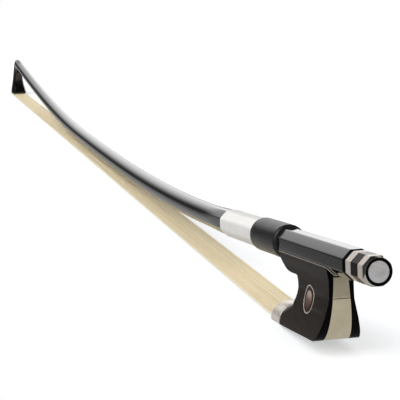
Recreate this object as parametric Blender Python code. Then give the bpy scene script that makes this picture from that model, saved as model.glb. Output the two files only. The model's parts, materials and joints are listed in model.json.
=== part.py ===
"""A viola bow, slackened, standing on its hair.

The bow lies along X with its button at -X and its head at +X. Z is up, and z = 0 is the surface
that the ferrule and the hair at the tip stand on. Slack hair lets the stick's camber spring back, so
the handle slopes down towards the head. Everything on the handle is modelled in the handle's own
frame, whose origin is the middle of the button's end face and whose X runs along the screw.
"""

import math

import bmesh
import bpy
from mathutils import Vector

MM = 0.001

# The whole bow
OVERALL_LENGTH = 745.0 * MM
HANDLE_TILT = math.radians(6.0)

# Clearances
FIT = 0.10 * MM
SLIDE_FIT = 0.12 * MM
RUN_FIT = 0.20 * MM
BUTTON_GAP = 0.50 * MM

# Button, from its end face towards the stick
BUTTON_FLATS = 8.55 * MM
BUTTON_FACE_DIAMETER = 8.10 * MM
CHAMFER_LENGTH = 1.15 * MM
OUTER_RING_LENGTH = 5.25 * MM
EBONY_LENGTH = 5.70 * MM
INNER_RING_LENGTH = 4.00 * MM
BUTTON_BEZEL_DIAMETER = 7.60 * MM
BUTTON_SPIGOT_DIAMETER = 6.80 * MM
BUTTON_PEARL_DIAMETER = 6.25 * MM
BUTTON_PEARL_THICKNESS = 1.10 * MM
BUTTON_PEARL_CROWN = 0.12 * MM
RING_EDGE = 0.15 * MM

# Screw
SCREW_DIAMETER = 3.0 * MM
SCREW_ROOT_DIAMETER = 2.4 * MM
SCREW_PITCH = 0.5 * MM
SCREW_LENGTH = 98.0 * MM
SCREW_THREAD_START = 36.0 * MM
SCREW_THREAD_LENGTH = 26.0 * MM
SCREW_SEAT_DEPTH = 11.5 * MM

# Stick
STICK_FLATS = 9.0 * MM
STICK_CHAMFER = 0.40 * MM
NIPPLE_DIAMETER = 5.0 * MM
NIPPLE_LENGTH = 1.5 * MM
BORE_DIAMETER = 3.5 * MM
BORE_DEPTH = 100.0 * MM
FACETS_BEYOND_WINDING = 2.9 * MM
ROUNDING_LENGTH = 26.0 * MM
ROUND_START_DIAMETER = 8.7 * MM
WAIST_AT = 455.0 * MM
WAIST_HEIGHT = 6.0 * MM
WAIST_DIAMETER = 7.0 * MM
HEAD_JOIN_SLOPE = 0.095
HEAD_JOIN_DIAMETER = 5.7 * MM

# Leather grip and silver winding
LEATHER_START = 78.5 * MM
LEATHER_LENGTH = 27.5 * MM
LEATHER_DIAMETER = 11.7 * MM
LEATHER_SHOULDER = 0.9 * MM
WINDING_LENGTH = 41.0 * MM
WINDING_WALL = 0.32 * MM

# Frog, in the handle's frame: x from the button's end face, depth below the screw's axis
FROG_REAR = 30.8 * MM
FROG_FRONT = 76.6 * MM
FROG_DEPTH = 24.9 * MM
FROG_WAIST_WIDTH = 7.8 * MM
FROG_BASE_WIDTH = 14.6 * MM
FROG_FLARE_START = 11.0 * MM
FROG_FLARE_SOFTNESS = 0.12
THUMB_LENGTH = 10.6 * MM
THUMB_DEPTH = 8.05 * MM
THROAT_ROUNDNESS = 0.6544
THROAT_BACK = 59.4 * MM
THROAT_FILLET = 1.3 * MM
TONGUE_HEIGHT = 6.0 * MM
TONGUE_REACH = 7.2 * MM
TONGUE_THICKNESS = 2.4 * MM
HEEL_CURVE_START = 11.0 * MM
HEEL_CURVE_LENGTH = 8.0 * MM
HEEL_CURVE_HEIGHT = 14.2 * MM
LINER_WALL = 0.30 * MM
LINER_OVERHANG = 0.2 * MM
LINER_PIN_REAR_INSET = 4.0 * MM
LINER_PIN_FRONT_INSET = 5.0 * MM

# Heel plates
PLATE_WALL = 0.6 * MM
PLATE_TOP_DEPTH = 5.3 * MM
PLATE_SEAM_DEPTH = 11.7 * MM
PLATE_TOP_WIDTH = 4.8 * MM
PLATE_BASE_WIDTH = 8.0 * MM
PLATE_FOOT_END = 44.0 * MM
UPPER_PLATE_PIN_DEPTHS = (8.5 * MM,)
LOWER_PLATE_PIN_DEPTHS = (14.5 * MM, 19.5 * MM)

# Ferrule, slide and hair mortise
FERRULE_LENGTH = 8.5 * MM
FERRULE_WALL = 0.5 * MM
FERRULE_HEIGHT = 6.2 * MM
FERRULE_START = 70.3 * MM
FERRULE_CORNER = 0.8 * MM
SEAM_INSET = 0.08 * MM
BEAK_LENGTH = 9.0 * MM
BEAK_SPREAD = 2.2 * MM
SLIDE_WIDTH = 8.6 * MM
SLIDE_DOVETAIL = 0.5 * MM
SLIDE_PEARL_WALL = 0.9 * MM
SLIDE_BACKING_WALL = 0.95 * MM
MORTISE_START = 50.0 * MM
MORTISE_LENGTH = 8.8 * MM
MORTISE_WIDTH = 7.4 * MM
MORTISE_HEIGHT = 4.3 * MM
PLUG_REACH = 2.0 * MM
PLUG_LEAN = 1.5 * MM
WEDGE_SIDE_ROOM = 1.2 * MM
WEDGE_INSET = 2.6 * MM
WEDGE_FRONT_INSET = 0.4 * MM

# Eyes in the frog's sides: a silver ring and, inside it, a pearl dot with ebony between them
EYE_AT = 48.2 * MM
EYE_DEPTH = 14.0 * MM
EYE_DIAMETER = 8.7 * MM
EYE_RING_WIDTH = 0.5 * MM
EYE_PEARL_DIAMETER = 5.4 * MM
EYE_INLAY_DEPTH = 1.2 * MM

# Eyelet that the screw draws
EYELET_AT = 51.0 * MM
EYELET_LENGTH = 5.6 * MM
EYELET_WIDTH = 4.6 * MM
EYELET_TOP = 2.3 * MM
EYELET_FLOOR = -4.0 * MM
EYELET_SHANK_DIAMETER = 2.9 * MM
EYELET_SHANK_LENGTH = 6.0 * MM
TRAVEL_TIGHTEN = 9.0 * MM
TRAVEL_SLACKEN = 0.5 * MM
PIN_DIAMETER = 0.9 * MM
PIN_LENGTH = 2.4 * MM
PIN_FLUSH = 0.02 * MM
PIN_FIT = 0.05 * MM

# Hair
HAIR_THICKNESS = 0.9 * MM
HAIR_WIDTH_FERRULE = 12.4 * MM
HAIR_WIDTH_TIP = 10.0 * MM
HAIR_WIDTH_MORTISE = 6.8 * MM
HAIR_WIDTH_HEAD = 5.2 * MM
HAIR_RIDGES = 22
HAIR_RIDGE_DEPTH = 0.12 * MM
KNOT_LENGTH = 3.0 * MM
KNOT_HEIGHT = 1.6 * MM
HAIR_FALL_LENGTH = 4.4 * MM
HAIR_SPREAD_IN_FERRULE = 2.0 * MM
HAIR_SPREAD_UNDER_HEAD = 1.4 * MM
HAIR_TURN_DROP = 1.6 * MM
HAIR_TURN_REACH = 0.8 * MM

# Head, measured back from its nose and up from the underside of its plate
HEAD_HEIGHT = 24.9 * MM
HEAD_PLATE_LENGTH = 26.0 * MM
HEAD_PLATE_WIDTH = 10.6 * MM
HEAD_JOIN_BACK = 34.0 * MM
NOSE_LIFT = 1.3 * MM
NOSE_LIFT_BACK = 7.0 * MM
PLATE_THICKNESS = 0.9 * MM
TIP_LINER_THICKNESS = 0.4 * MM
TIP_MORTISE_BACK = 19.5 * MM
TIP_MORTISE_LENGTH = 7.0 * MM
TIP_MORTISE_WIDTH = 5.6 * MM
TIP_MORTISE_HEIGHT = 4.8 * MM

# Fineness of the round pieces
SIDES = 32
BORE_SIDES = 24
SMALL_SIDES = 16
PIN_SIDES = 12
NOSE_STEPS = 12
FILLET_STEPS = 4
THROAT_STEPS = 18
EIGHTH_TURN = math.pi / 8

# Places that follow from the sizes above
BUTTON_LENGTH = OUTER_RING_LENGTH + EBONY_LENGTH + INNER_RING_LENGTH
STICK_END = BUTTON_LENGTH + BUTTON_GAP
FERRULE_FRONT = FERRULE_START + FERRULE_LENGTH
WINDING_START = LEATHER_START + LEATHER_LENGTH + FIT
STRAIGHT_LENGTH = WINDING_START + WINDING_LENGTH + FACETS_BEYOND_WINDING
FACE_X = -OVERALL_LENGTH / 2
NOSE_X = OVERALL_LENGTH / 2
HANDLE_HEIGHT = FERRULE_FRONT * math.sin(HANDLE_TILT) + FROG_DEPTH * math.cos(HANDLE_TILT)
PLATE_UNDERSIDE = HAIR_THICKNESS + FIT
HEAD_UNDERSIDE = PLATE_UNDERSIDE + PLATE_THICKNESS + TIP_LINER_THICKNESS + 2 * FIT
TONGUE_DEPTH = FROG_DEPTH - TONGUE_HEIGHT
THROAT_RADIUS = THROAT_ROUNDNESS * (TONGUE_DEPTH - THUMB_DEPTH)
LINER_OUTSIDE = STICK_FLATS / 2 + SLIDE_FIT + LINER_WALL
TROUGH = LINER_OUTSIDE + FIT
SLIDE_TOP_DEPTH = FROG_DEPTH - SLIDE_PEARL_WALL - SLIDE_BACKING_WALL - FIT


def in_bow(x, z):
    """The bow's own (x, z) of a point that is given in the handle's frame."""
    cosine, sine = math.cos(HANDLE_TILT), math.sin(HANDLE_TILT)
    return FACE_X + x * cosine + z * sine, HANDLE_HEIGHT - x * sine + z * cosine


def blend(low, high, share):
    return low + (high - low) * share


def ease(share):
    """0 to 1 with a level start and end."""
    share = min(max(share, 0.0), 1.0)
    return share * share * (3 - 2 * share)


def material(name, colour, roughness, metallic=0.0, coat=0.0):
    made = bpy.data.materials.get(name)
    if made:
        return made
    made = bpy.data.materials.new(name)
    made.use_nodes = True
    shader = made.node_tree.nodes["Principled BSDF"]
    shader.inputs["Base Color"].default_value = (*colour, 1.0)
    shader.inputs["Roughness"].default_value = roughness
    shader.inputs["Metallic"].default_value = metallic
    shader.inputs["Coat Weight"].default_value = coat
    made.diffuse_color = (*colour, 1.0)
    return made


def carbon():
    return material("carbon_lacquer", (0.012, 0.012, 0.014), 0.18, coat=0.6)


def ebony():
    return material("ebony", (0.040, 0.033, 0.028), 0.35)


def silver():
    return material("nickel_silver", (0.78, 0.74, 0.65), 0.28, metallic=1.0)


def pearl():
    return material("mother_of_pearl", (0.66, 0.65, 0.66), 0.22, coat=0.5)


def dark_pearl():
    return material("brown_pearl", (0.23, 0.13, 0.10), 0.25, coat=0.5)


def abalone():
    return material("abalone", (0.30, 0.38, 0.36), 0.22, coat=0.5)


def hide():
    return material("black_leather", (0.020, 0.020, 0.021), 0.55)


def horsehair():
    return material("horsehair", (0.74, 0.60, 0.36), 0.45)


def maple():
    return material("maple", (0.58, 0.41, 0.24), 0.6)


def brass():
    return material("brass", (0.72, 0.53, 0.22), 0.3, metallic=1.0)


def steel():
    return material("steel", (0.55, 0.55, 0.56), 0.3, metallic=1.0)


def thread_binding():
    return material("bound_hair", (0.55, 0.36, 0.20), 0.7)


def frame(name, parent=None, location=(0, 0, 0), tilt=0.0):
    """An empty that carries pieces: nothing of it is a solid."""
    empty = bpy.data.objects.new(name, None)
    bpy.context.scene.collection.objects.link(empty)
    empty.location = location
    empty.rotation_euler = (0, tilt, 0)
    empty.parent = parent
    return empty


def finish(mesh_data, name, parent, paint, smooth=True):
    """Makes an object of a bmesh, in its parent's frame, with its faces outward."""
    bmesh.ops.recalc_face_normals(mesh_data, faces=mesh_data.faces)
    if mesh_data.calc_volume(signed=True) < 0:
        bmesh.ops.reverse_faces(mesh_data, faces=mesh_data.faces)
    mesh = bpy.data.meshes.new(name)
    mesh_data.to_mesh(mesh)
    mesh_data.free()
    if smooth:
        mesh.shade_smooth()
        mesh.set_sharp_from_angle(angle=math.radians(32))
    piece = bpy.data.objects.new(name, mesh)
    bpy.context.scene.collection.objects.link(piece)
    piece.parent = parent
    if paint:
        mesh.materials.append(paint)
    else:
        piece.hide_render = True
        piece.display_type = "WIRE"
    return piece


def boolean(piece, other, operation):
    change = piece.modifiers.new(f"{operation.lower()}_{other.name}", "BOOLEAN")
    change.operation = operation
    change.object = other
    change.solver = "EXACT"
    return piece


def cut(piece, *cutters):
    for cutter in cutters:
        boolean(piece, cutter, "DIFFERENCE")
    return piece


def octagon_reach(angle):
    """How far an octagon reaches at an angle, for flats one unit from its middle."""
    return 1 / math.cos((angle + EIGHTH_TURN) % (2 * EIGHTH_TURN) - EIGHTH_TURN)


def ring_points(x, radius, octagonal, sides):
    """A ring round the X axis. Its radius is that of the flats where it is octagonal."""
    points = []
    for step in range(sides):
        angle = 2 * math.pi * step / sides
        reach = radius * (octagon_reach(angle) if octagonal else 1.0)
        points.append(Vector((x, reach * math.sin(angle), reach * math.cos(angle))))
    return points


def skin(rings, looped):
    """Faces between rings of equal count, with a cap on each end or, if looped, none."""
    shape = bmesh.new()
    loops = [[shape.verts.new(point) for point in ring] for ring in rings]
    pairs = list(zip(loops, loops[1:]))
    if looped:
        pairs.append((loops[-1], loops[0]))
    for first, second in pairs:
        count = len(first)
        for step in range(count):
            after = (step + 1) % count
            shape.faces.new((first[step], first[after], second[after], second[step]))
    if not looped:
        shape.faces.new(loops[0])
        shape.faces.new(loops[-1])
    return shape


def turned(name, parent, paint, profile, looped=False, sides=SIDES):
    """A piece turned round the handle's X axis from (x, radius, octagonal) points."""
    rings = [ring_points(x, radius, octagonal, sides) for x, radius, octagonal in profile]
    return finish(skin(rings, looped), name, parent, paint)


def cylinder(name, parent, paint, radius, start, end, sides=SMALL_SIDES):
    """A plain cylinder between two points of the parent's frame."""
    start, end = Vector(start), Vector(end)
    along = (end - start).normalized()
    side = along.orthogonal().normalized()
    up = along.cross(side)
    rings = []
    for middle in (start, end):
        angles = [2 * math.pi * step / sides for step in range(sides)]
        rings.append([middle + radius * (side * math.cos(a) + up * math.sin(a)) for a in angles])
    return finish(skin(rings, False), name, parent, paint)


def extruded(name, parent, paint, outline, axis, low, high):
    """An outline pushed along an axis. It is (x, z) for axis Y and (y, z) for axis X."""
    shape = bmesh.new()
    ends = []
    for place in (low, high):
        if axis == "Y":
            ends.append([shape.verts.new((a, place, b)) for a, b in outline])
        else:
            ends.append([shape.verts.new((place, a, b)) for a, b in outline])
    count = len(outline)
    for step in range(count):
        after = (step + 1) % count
        shape.faces.new((ends[0][step], ends[0][after], ends[1][after], ends[1][step]))
    shape.faces.new(ends[0])
    shape.faces.new(ends[1])
    return finish(shape, name, parent, paint, smooth=paint is not None)


def block(name, parent, paint, low, high):
    """A box between two corners of the parent's frame."""
    outline = [(low[0], low[2]), (high[0], low[2]), (high[0], high[2]), (low[0], high[2])]
    return extruded(name, parent, paint, outline, "Y", low[1], high[1])


def frog_half_width(depth):
    """Half the frog's width at a depth: narrow under the stick, flaring towards its base."""
    waist, base = FROG_WAIST_WIDTH / 2, FROG_BASE_WIDTH / 2
    collar = STICK_FLATS / 2
    if depth < FROG_FLARE_START:
        return blend(collar, waist, ease((depth - TROUGH / 2) / (FROG_FLARE_START / 3)))
    share = (depth - FROG_FLARE_START) / (FROG_DEPTH - FROG_FLARE_START)
    soft = FROG_FLARE_SOFTNESS
    swept = (math.hypot(share, soft) - soft) / (math.hypot(1.0, soft) - soft)
    return blend(waist, base, swept)


def heel_back(depth):
    """How far the rounded heel stands forward of the frog's rear face at a depth."""
    drop = max(depth - HEEL_CURVE_START, 0.0) / HEEL_CURVE_HEIGHT
    return HEEL_CURVE_LENGTH * (1 - math.sqrt(max(1 - drop * drop, 0.0)))


def heel_point(depth, inset):
    """(x, z) of a point at a depth on the heel, set in square to its surface."""
    near = MM / 100
    slope = math.atan2(heel_back(depth + near) - heel_back(depth - near), 2 * near)
    x = FROG_REAR + heel_back(depth) + inset * math.cos(slope)
    return x, -depth + inset * math.sin(slope)


def heel_profile(inset, steps=18):
    """(x, z) points down the heel, set in from its surface, from the trough to the base."""
    points = [(FROG_REAR + inset, -TROUGH / 2)]
    for step in range(steps + 1):
        depth = blend(HEEL_CURVE_START, FROG_DEPTH, math.sin(math.pi / 2 * step / steps))
        points.append(heel_point(depth, inset))
    return [(x, max(z, -FROG_DEPTH + inset)) for x, z in points]


def arc(centre, radius, start, end, steps):
    """(x, z) points on an arc, with its angles in degrees from +X towards +Z."""
    points = []
    for step in range(steps + 1):
        angle = math.radians(blend(start, end, step / steps))
        points.append((centre[0] + radius * math.cos(angle), centre[1] + radius * math.sin(angle)))
    return points


def frog_outline():
    """The frog's side view, anticlockwise from the heel's foot."""
    base = -FROG_DEPTH
    thumb_middle = (FROG_FRONT - THUMB_LENGTH, -TROUGH / 2)
    nose = []
    for step in range(NOSE_STEPS + 1):
        angle = math.pi / 2 * step / NOSE_STEPS
        x = thumb_middle[0] + THUMB_LENGTH * math.cos(angle)
        nose.append((x, thumb_middle[1] - (THUMB_DEPTH - TROUGH / 2) * math.sin(angle)))
    centre = (THROAT_BACK + THROAT_RADIUS, -TONGUE_DEPTH + THROAT_RADIUS)
    rise = -THUMB_DEPTH - THROAT_FILLET - centre[1]
    lip = math.asin(rise / (THROAT_RADIUS - THROAT_FILLET))
    corner = (centre[0] - rise / math.tan(lip), centre[1] + rise)
    lip = math.degrees(lip)
    fillet = arc(corner, THROAT_FILLET, 90, 180 - lip, FILLET_STEPS)
    throat = [*fillet, *arc(centre, THROAT_RADIUS, 180 - lip, 270, THROAT_STEPS)[1:]]
    front = FERRULE_START - FIT
    tongue = [(front, -TONGUE_DEPTH), (front, base)]
    heel = heel_profile(0.0)
    return [*heel, *reversed([*nose, *throat, *tongue])]


def frog_cross_section(steps=13):
    """The frog's end view: a trough for three facets of the stick over flaring sides."""
    corner = TROUGH * math.tan(EIGHTH_TURN)
    collar = STICK_FLATS / 2
    shoulder_depth = TROUGH * math.sqrt(2) - STICK_FLATS / 2
    side = []
    for step in range(steps + 1):
        depth = blend(shoulder_depth + MM, FROG_DEPTH, (step / steps) ** 0.8)
        side.append((frog_half_width(depth), -depth))
    right = [(corner, -TROUGH), (collar, -shoulder_depth), *side]
    return [*right, *[(-y, z) for y, z in reversed(right)]]


def arch(half_width, height, base, steps=14):
    """(y, z) points over a ferrule's arch, from its right foot to its left."""
    points = []
    for step in range(steps + 1):
        angle = math.pi * step / steps
        points.append((half_width * math.cos(angle), base + height * math.sin(angle)))
    return points


def plate_half_width(depth, margin):
    """Half the width of a heel plate at a depth."""
    share = (depth - PLATE_TOP_DEPTH) / (FROG_DEPTH - PLATE_TOP_DEPTH)
    return blend(PLATE_TOP_WIDTH, PLATE_BASE_WIDTH, share**1.3) / 2 + margin


def plate_outline(top, bottom, margin, steps=6):
    """The end view of a heel plate between two depths."""
    depths = [blend(top, bottom, step / steps) for step in range(steps + 1)]
    right = [(plate_half_width(max(d, PLATE_TOP_DEPTH), margin), -d) for d in depths]
    return [*right, *[(-y, z) for y, z in reversed(right)]]


def heel_band(name, parent, outside, inside, foot_end, paint=None):
    """The layer that a heel plate lies in, right across the frog."""
    outer = heel_profile(outside)
    inner = heel_profile(inside)
    outline = [*outer, (foot_end, outer[-1][1]), (foot_end, inner[-1][1]), *reversed(inner)]
    return extruded(name, parent, paint, outline, "Y", -FROG_BASE_WIDTH, FROG_BASE_WIDTH)


def camber_height(reach):
    """Height of the stick's middle above the table, by its distance from the button's end face."""
    start = in_bow(STRAIGHT_LENGTH, 0)
    start_reach, start_height = start[0] - FACE_X, start[1]
    join_reach = OVERALL_LENGTH - HEAD_JOIN_BACK
    join_height = PLATE_UNDERSIDE + HEAD_HEIGHT - HEAD_JOIN_DIAMETER / 2 - HEAD_JOIN_DIAMETER / 4
    if reach < WAIST_AT:
        knots = (start_reach, start_height, -math.tan(HANDLE_TILT), WAIST_AT, WAIST_HEIGHT, 0.0)
    else:
        knots = (WAIST_AT, WAIST_HEIGHT, 0.0, join_reach, join_height, HEAD_JOIN_SLOPE)
    low, low_height, low_slope, high, high_height, high_slope = knots
    span = high - low
    t = (reach - low) / span
    rise = high_height - low_height
    bend = low_slope * span * t * (1 - t) ** 2 - high_slope * span * t * t * (1 - t)
    return low_height + rise * ease(t) + bend


def stick_radius(reach):
    """Half the stick's diameter along its round, tapering length."""
    join_reach = OVERALL_LENGTH - HEAD_JOIN_BACK
    if reach < WAIST_AT:
        share = (reach - STRAIGHT_LENGTH) / (WAIST_AT - STRAIGHT_LENGTH)
        return blend(ROUND_START_DIAMETER, WAIST_DIAMETER, max(share, 0.0)) / 2
    share = (reach - WAIST_AT) / (join_reach - WAIST_AT)
    return blend(WAIST_DIAMETER, HEAD_JOIN_DIAMETER, share) / 2


def head_width_share(share):
    """How wide the head is at a share of the way from its throat to its face ridge."""
    stops = [(0.0, 0.78), (0.16, 1.0), (0.5, 0.86), (0.8, 0.52), (1.0, 0.16)]
    for (low, low_width), (high, high_width) in zip(stops, stops[1:]):
        if share <= high:
            return blend(low_width, high_width, (share - low) / (high - low))
    return stops[-1][1]


def section(throat, ridge, half_width, octagonal, headlike):
    """A ring from the stick's underside (throat) to its top (ridge), both (x, z) in the bow."""
    middle = ((throat[0] + ridge[0]) / 2, (throat[1] + ridge[1]) / 2)
    reach = ((ridge[0] - throat[0]) / 2, (ridge[1] - throat[1]) / 2)
    points = []
    for step in range(SIDES):
        angle = 2 * math.pi * step / SIDES
        grown = blend(1.0, octagon_reach(angle), octagonal)
        along, across = -math.cos(angle) * grown, math.sin(angle) * grown
        if headlike and step % (SIDES // 2):
            wide = head_width_share((along + 1) / 2)
            across = blend(across, math.copysign(wide, across), headlike)
        points.append(
            Vector((middle[0] + reach[0] * along, half_width * across, middle[1] + reach[1] * along))
        )
    return points


def stick_ring(x, z, slope, radius, octagonal):
    """A ring square to the stick at a point of its middle line."""
    lean = (-math.sin(slope) * radius, math.cos(slope) * radius)
    return section((x - lean[0], z - lean[1]), (x + lean[0], z + lean[1]), radius, octagonal, 0.0)


def handle_rings():
    """The stick's end, its nipple and the straight octagonal handle."""
    half = STICK_FLATS / 2
    stations = [
        (STICK_END - NIPPLE_LENGTH, NIPPLE_DIAMETER / 2, 0.0),
        (STICK_END, NIPPLE_DIAMETER / 2, 0.0),
        (STICK_END, half - STICK_CHAMFER, 1.0),
        (STICK_END + STICK_CHAMFER, half, 1.0),
        (STRAIGHT_LENGTH, half, 1.0),
    ]
    return [stick_ring(*in_bow(x, 0), -HANDLE_TILT, radius, eight) for x, radius, eight in stations]


def camber_rings(step=21 * MM):
    """The cambered length: the facets melt into a round stick that tapers to the head."""
    first = STRAIGHT_LENGTH + ROUNDING_LENGTH
    last = OVERALL_LENGTH - HEAD_JOIN_BACK
    count = max(2, round((last - first) / step))
    rings = []
    for number in range(count):
        reach = blend(first, last, number / count)
        rise = camber_height(reach + MM) - camber_height(reach - MM)
        slope = math.atan2(rise, 2 * MM)
        rings.append(
            stick_ring(FACE_X + reach, camber_height(reach), slope, stick_radius(reach), 0.0)
        )
    return rings


def head_stations():
    """(throat, ridge, half width, headlike) down the head, measured back from the nose and up from
    the underside of the plate. The throat curls forward under the stick, and the ridge runs from
    the stick's top down to the nose."""
    top = HEAD_HEIGHT
    foot = HEAD_UNDERSIDE - PLATE_UNDERSIDE
    join = HEAD_JOIN_DIAMETER
    plate = HEAD_PLATE_LENGTH
    wide = HEAD_PLATE_WIDTH / 2
    slim = join / 2
    lean = HEAD_JOIN_SLOPE * join / 2
    join_top = top - join / 4
    return [
        ((HEAD_JOIN_BACK - lean, join_top - join), (HEAD_JOIN_BACK + lean, join_top), slim, 0.0),
        ((plate + 4.2 * MM, top - 6.7 * MM), (plate + 2.0 * MM, top - 0.7 * MM), slim, 0.05),
        ((plate + 1.2 * MM, top - 7.0 * MM), (plate - 3.6 * MM, top - 0.15 * MM), slim, 0.15),
        ((plate - 1.4 * MM, top - 8.2 * MM), (plate - 7.6 * MM, top - 0.5 * MM), slim * 1.02, 0.3),
        ((plate - 3.2 * MM, top - 10.2 * MM), (plate - 10.4 * MM, top - 2.3 * MM), slim * 1.06, 0.5),
        ((plate - 4.3 * MM, top - 12.6 * MM), (plate - 12.9 * MM, top - 5.4 * MM), slim * 1.12, 0.7),
        ((plate - 4.8 * MM, top - 15.0 * MM), (plate - 15.5 * MM, top - 9.2 * MM), slim * 1.22, 0.85),
        ((plate - 4.5 * MM, top - 17.4 * MM), (plate - 18.1 * MM, top - 13.2 * MM), slim * 1.36, 1.0),
        ((plate - 3.5 * MM, top - 19.6 * MM), (plate - 20.7 * MM, top - 17.0 * MM), slim * 1.53, 1.0),
        ((plate - 1.9 * MM, top - 21.4 * MM), (plate - 23.2 * MM, top - 20.2 * MM), slim * 1.71, 1.0),
        ((plate, foot), (NOSE_LIFT / 4, foot), wide, 1.0),
    ]


def nose_lift(back):
    """How far the head's underside rises towards the nose, at a distance back from it."""
    share = max(0.0, 1 - back / NOSE_LIFT_BACK)
    return NOSE_LIFT * share * share


def head_rings():
    rings = []
    stations = head_stations()
    for throat, ridge, half_width, headlike in stations:
        low = (NOSE_X - throat[0], PLATE_UNDERSIDE + throat[1])
        high = (NOSE_X - ridge[0], PLATE_UNDERSIDE + ridge[1])
        rings.append(section(low, high, half_width, 0.0, headlike))
    for point in rings[-1]:
        point.z += nose_lift(NOSE_X - point.x)
    return rings


def sole_faces(shape, loop):
    """Closes a ring that is even about the XZ plane with strips across it, so it may curve."""
    half = len(loop) // 2
    shape.faces.new((loop[0], loop[1], loop[-1]))
    for step in range(1, half - 1):
        shape.faces.new((loop[step], loop[step + 1], loop[-step - 1], loop[-step]))
    shape.faces.new((loop[half - 1], loop[half], loop[half + 1]))


def stick(handle):
    """The stick with its head in one piece, bored for the screw and slotted for the eyelet."""
    shape = bmesh.new()
    rings = [*handle_rings(), *camber_rings(), *head_rings()]
    loops = [[shape.verts.new(point) for point in ring] for ring in rings]
    for first, second in zip(loops, loops[1:]):
        for step in range(SIDES):
            after = (step + 1) % SIDES
            shape.faces.new((first[step], first[after], second[after], second[step]))
    shape.faces.new(loops[0])
    sole_faces(shape, loops[-1])
    piece = finish(shape, "stick", None, carbon())
    start = STICK_END - 2 * NIPPLE_LENGTH
    end = BORE_DEPTH + STICK_END
    ends = ((start, 0, 0), (end, 0, 0))
    bore = cylinder("bore_cutter", handle, None, BORE_DIAMETER / 2, *ends, BORE_SIDES)
    slot_reach = EYELET_LENGTH / 2 + RUN_FIT
    slot = block(
        "slot_cutter",
        handle,
        None,
        (EYELET_AT - slot_reach - TRAVEL_TIGHTEN, -EYELET_WIDTH / 2 - RUN_FIT, -STICK_FLATS),
        (EYELET_AT + slot_reach + TRAVEL_SLACKEN, EYELET_WIDTH / 2 + RUN_FIT, EYELET_TOP + RUN_FIT),
    )
    back = NOSE_X - TIP_MORTISE_BACK
    mortise = block(
        "tip_mortise_cutter",
        None,
        None,
        (back, -TIP_MORTISE_WIDTH / 2, -HAIR_THICKNESS),
        (back + TIP_MORTISE_LENGTH, TIP_MORTISE_WIDTH / 2, HEAD_UNDERSIDE + TIP_MORTISE_HEIGHT),
    )
    cut(piece, bore, slot, mortise)
    return mortise


def tip_layer(name, paint, top, thickness, mortise):
    """A sheet under the head, with the head's outline and its mortise."""
    outline = head_rings()[-1]
    shape = bmesh.new()
    loops = []
    for height in (top, top - thickness):
        drop = HEAD_UNDERSIDE - height
        loops.append([shape.verts.new(point - Vector((0, 0, drop))) for point in outline])
    for step in range(SIDES):
        after = (step + 1) % SIDES
        shape.faces.new((loops[0][step], loops[0][after], loops[1][after], loops[1][step]))
    sole_faces(shape, loops[0])
    sole_faces(shape, loops[1])
    cut(finish(shape, name, None, paint), mortise)


def tip_fittings(mortise):
    """The layers under the head, the hair's knot in its mortise and the plug that holds it."""
    liner_top = HEAD_UNDERSIDE - FIT
    tip_layer("tip_liner", ebony(), liner_top, TIP_LINER_THICKNESS, mortise)
    tip_layer(
        "tip_plate", carbon(), liner_top - TIP_LINER_THICKNESS - FIT, PLATE_THICKNESS, mortise
    )
    back = NOSE_X - TIP_MORTISE_BACK
    front = back + TIP_MORTISE_LENGTH
    half = TIP_MORTISE_WIDTH / 2 - FIT
    roof = HEAD_UNDERSIDE + TIP_MORTISE_HEIGHT
    knot_floor = roof - FIT - KNOT_HEIGHT
    knot_low = (front - FIT - KNOT_LENGTH, -half, knot_floor)
    block("tip_knot", None, thread_binding(), knot_low, (front - FIT, half, roof - FIT))
    floor = PLATE_UNDERSIDE + FIT
    plug = [
        (back + HAIR_THICKNESS + 2 * HAIR_TURN_REACH - 3 * FIT, floor),
        (front - FIT, floor),
        (front - FIT, knot_floor - FIT),
        (front - KNOT_LENGTH, knot_floor - FIT),
    ]
    extruded("tip_plug", None, maple(), plug, "Y", -half, half)


def grip(handle):
    """The leather thumb grip and the silver winding in front of it, both round the octagon."""
    inside = STICK_FLATS / 2 + FIT
    outside, shoulder = LEATHER_DIAMETER / 2, LEATHER_SHOULDER
    low, high = LEATHER_START, LEATHER_START + LEATHER_LENGTH
    profile = [(low, inside, True), (low, outside - shoulder, False)]
    for step in range(1, 4):
        angle = math.pi / 2 * step / 3
        x = low + shoulder * (1 - math.cos(angle))
        profile.append((x, outside - shoulder + shoulder * math.sin(angle), False))
    profile += [
        (high - 2 * shoulder, outside, False),
        (high, outside - shoulder, False),
        (high, inside, True),
    ]
    turned("thumb_leather", handle, hide(), profile, looped=True)
    start, end = WINDING_START, WINDING_START + WINDING_LENGTH
    wound = inside + WINDING_WALL
    profile = [(start, inside, True), (start, wound, True), (end, wound, True), (end, inside, True)]
    turned("silver_winding", handle, silver(), profile, looped=True)


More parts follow.
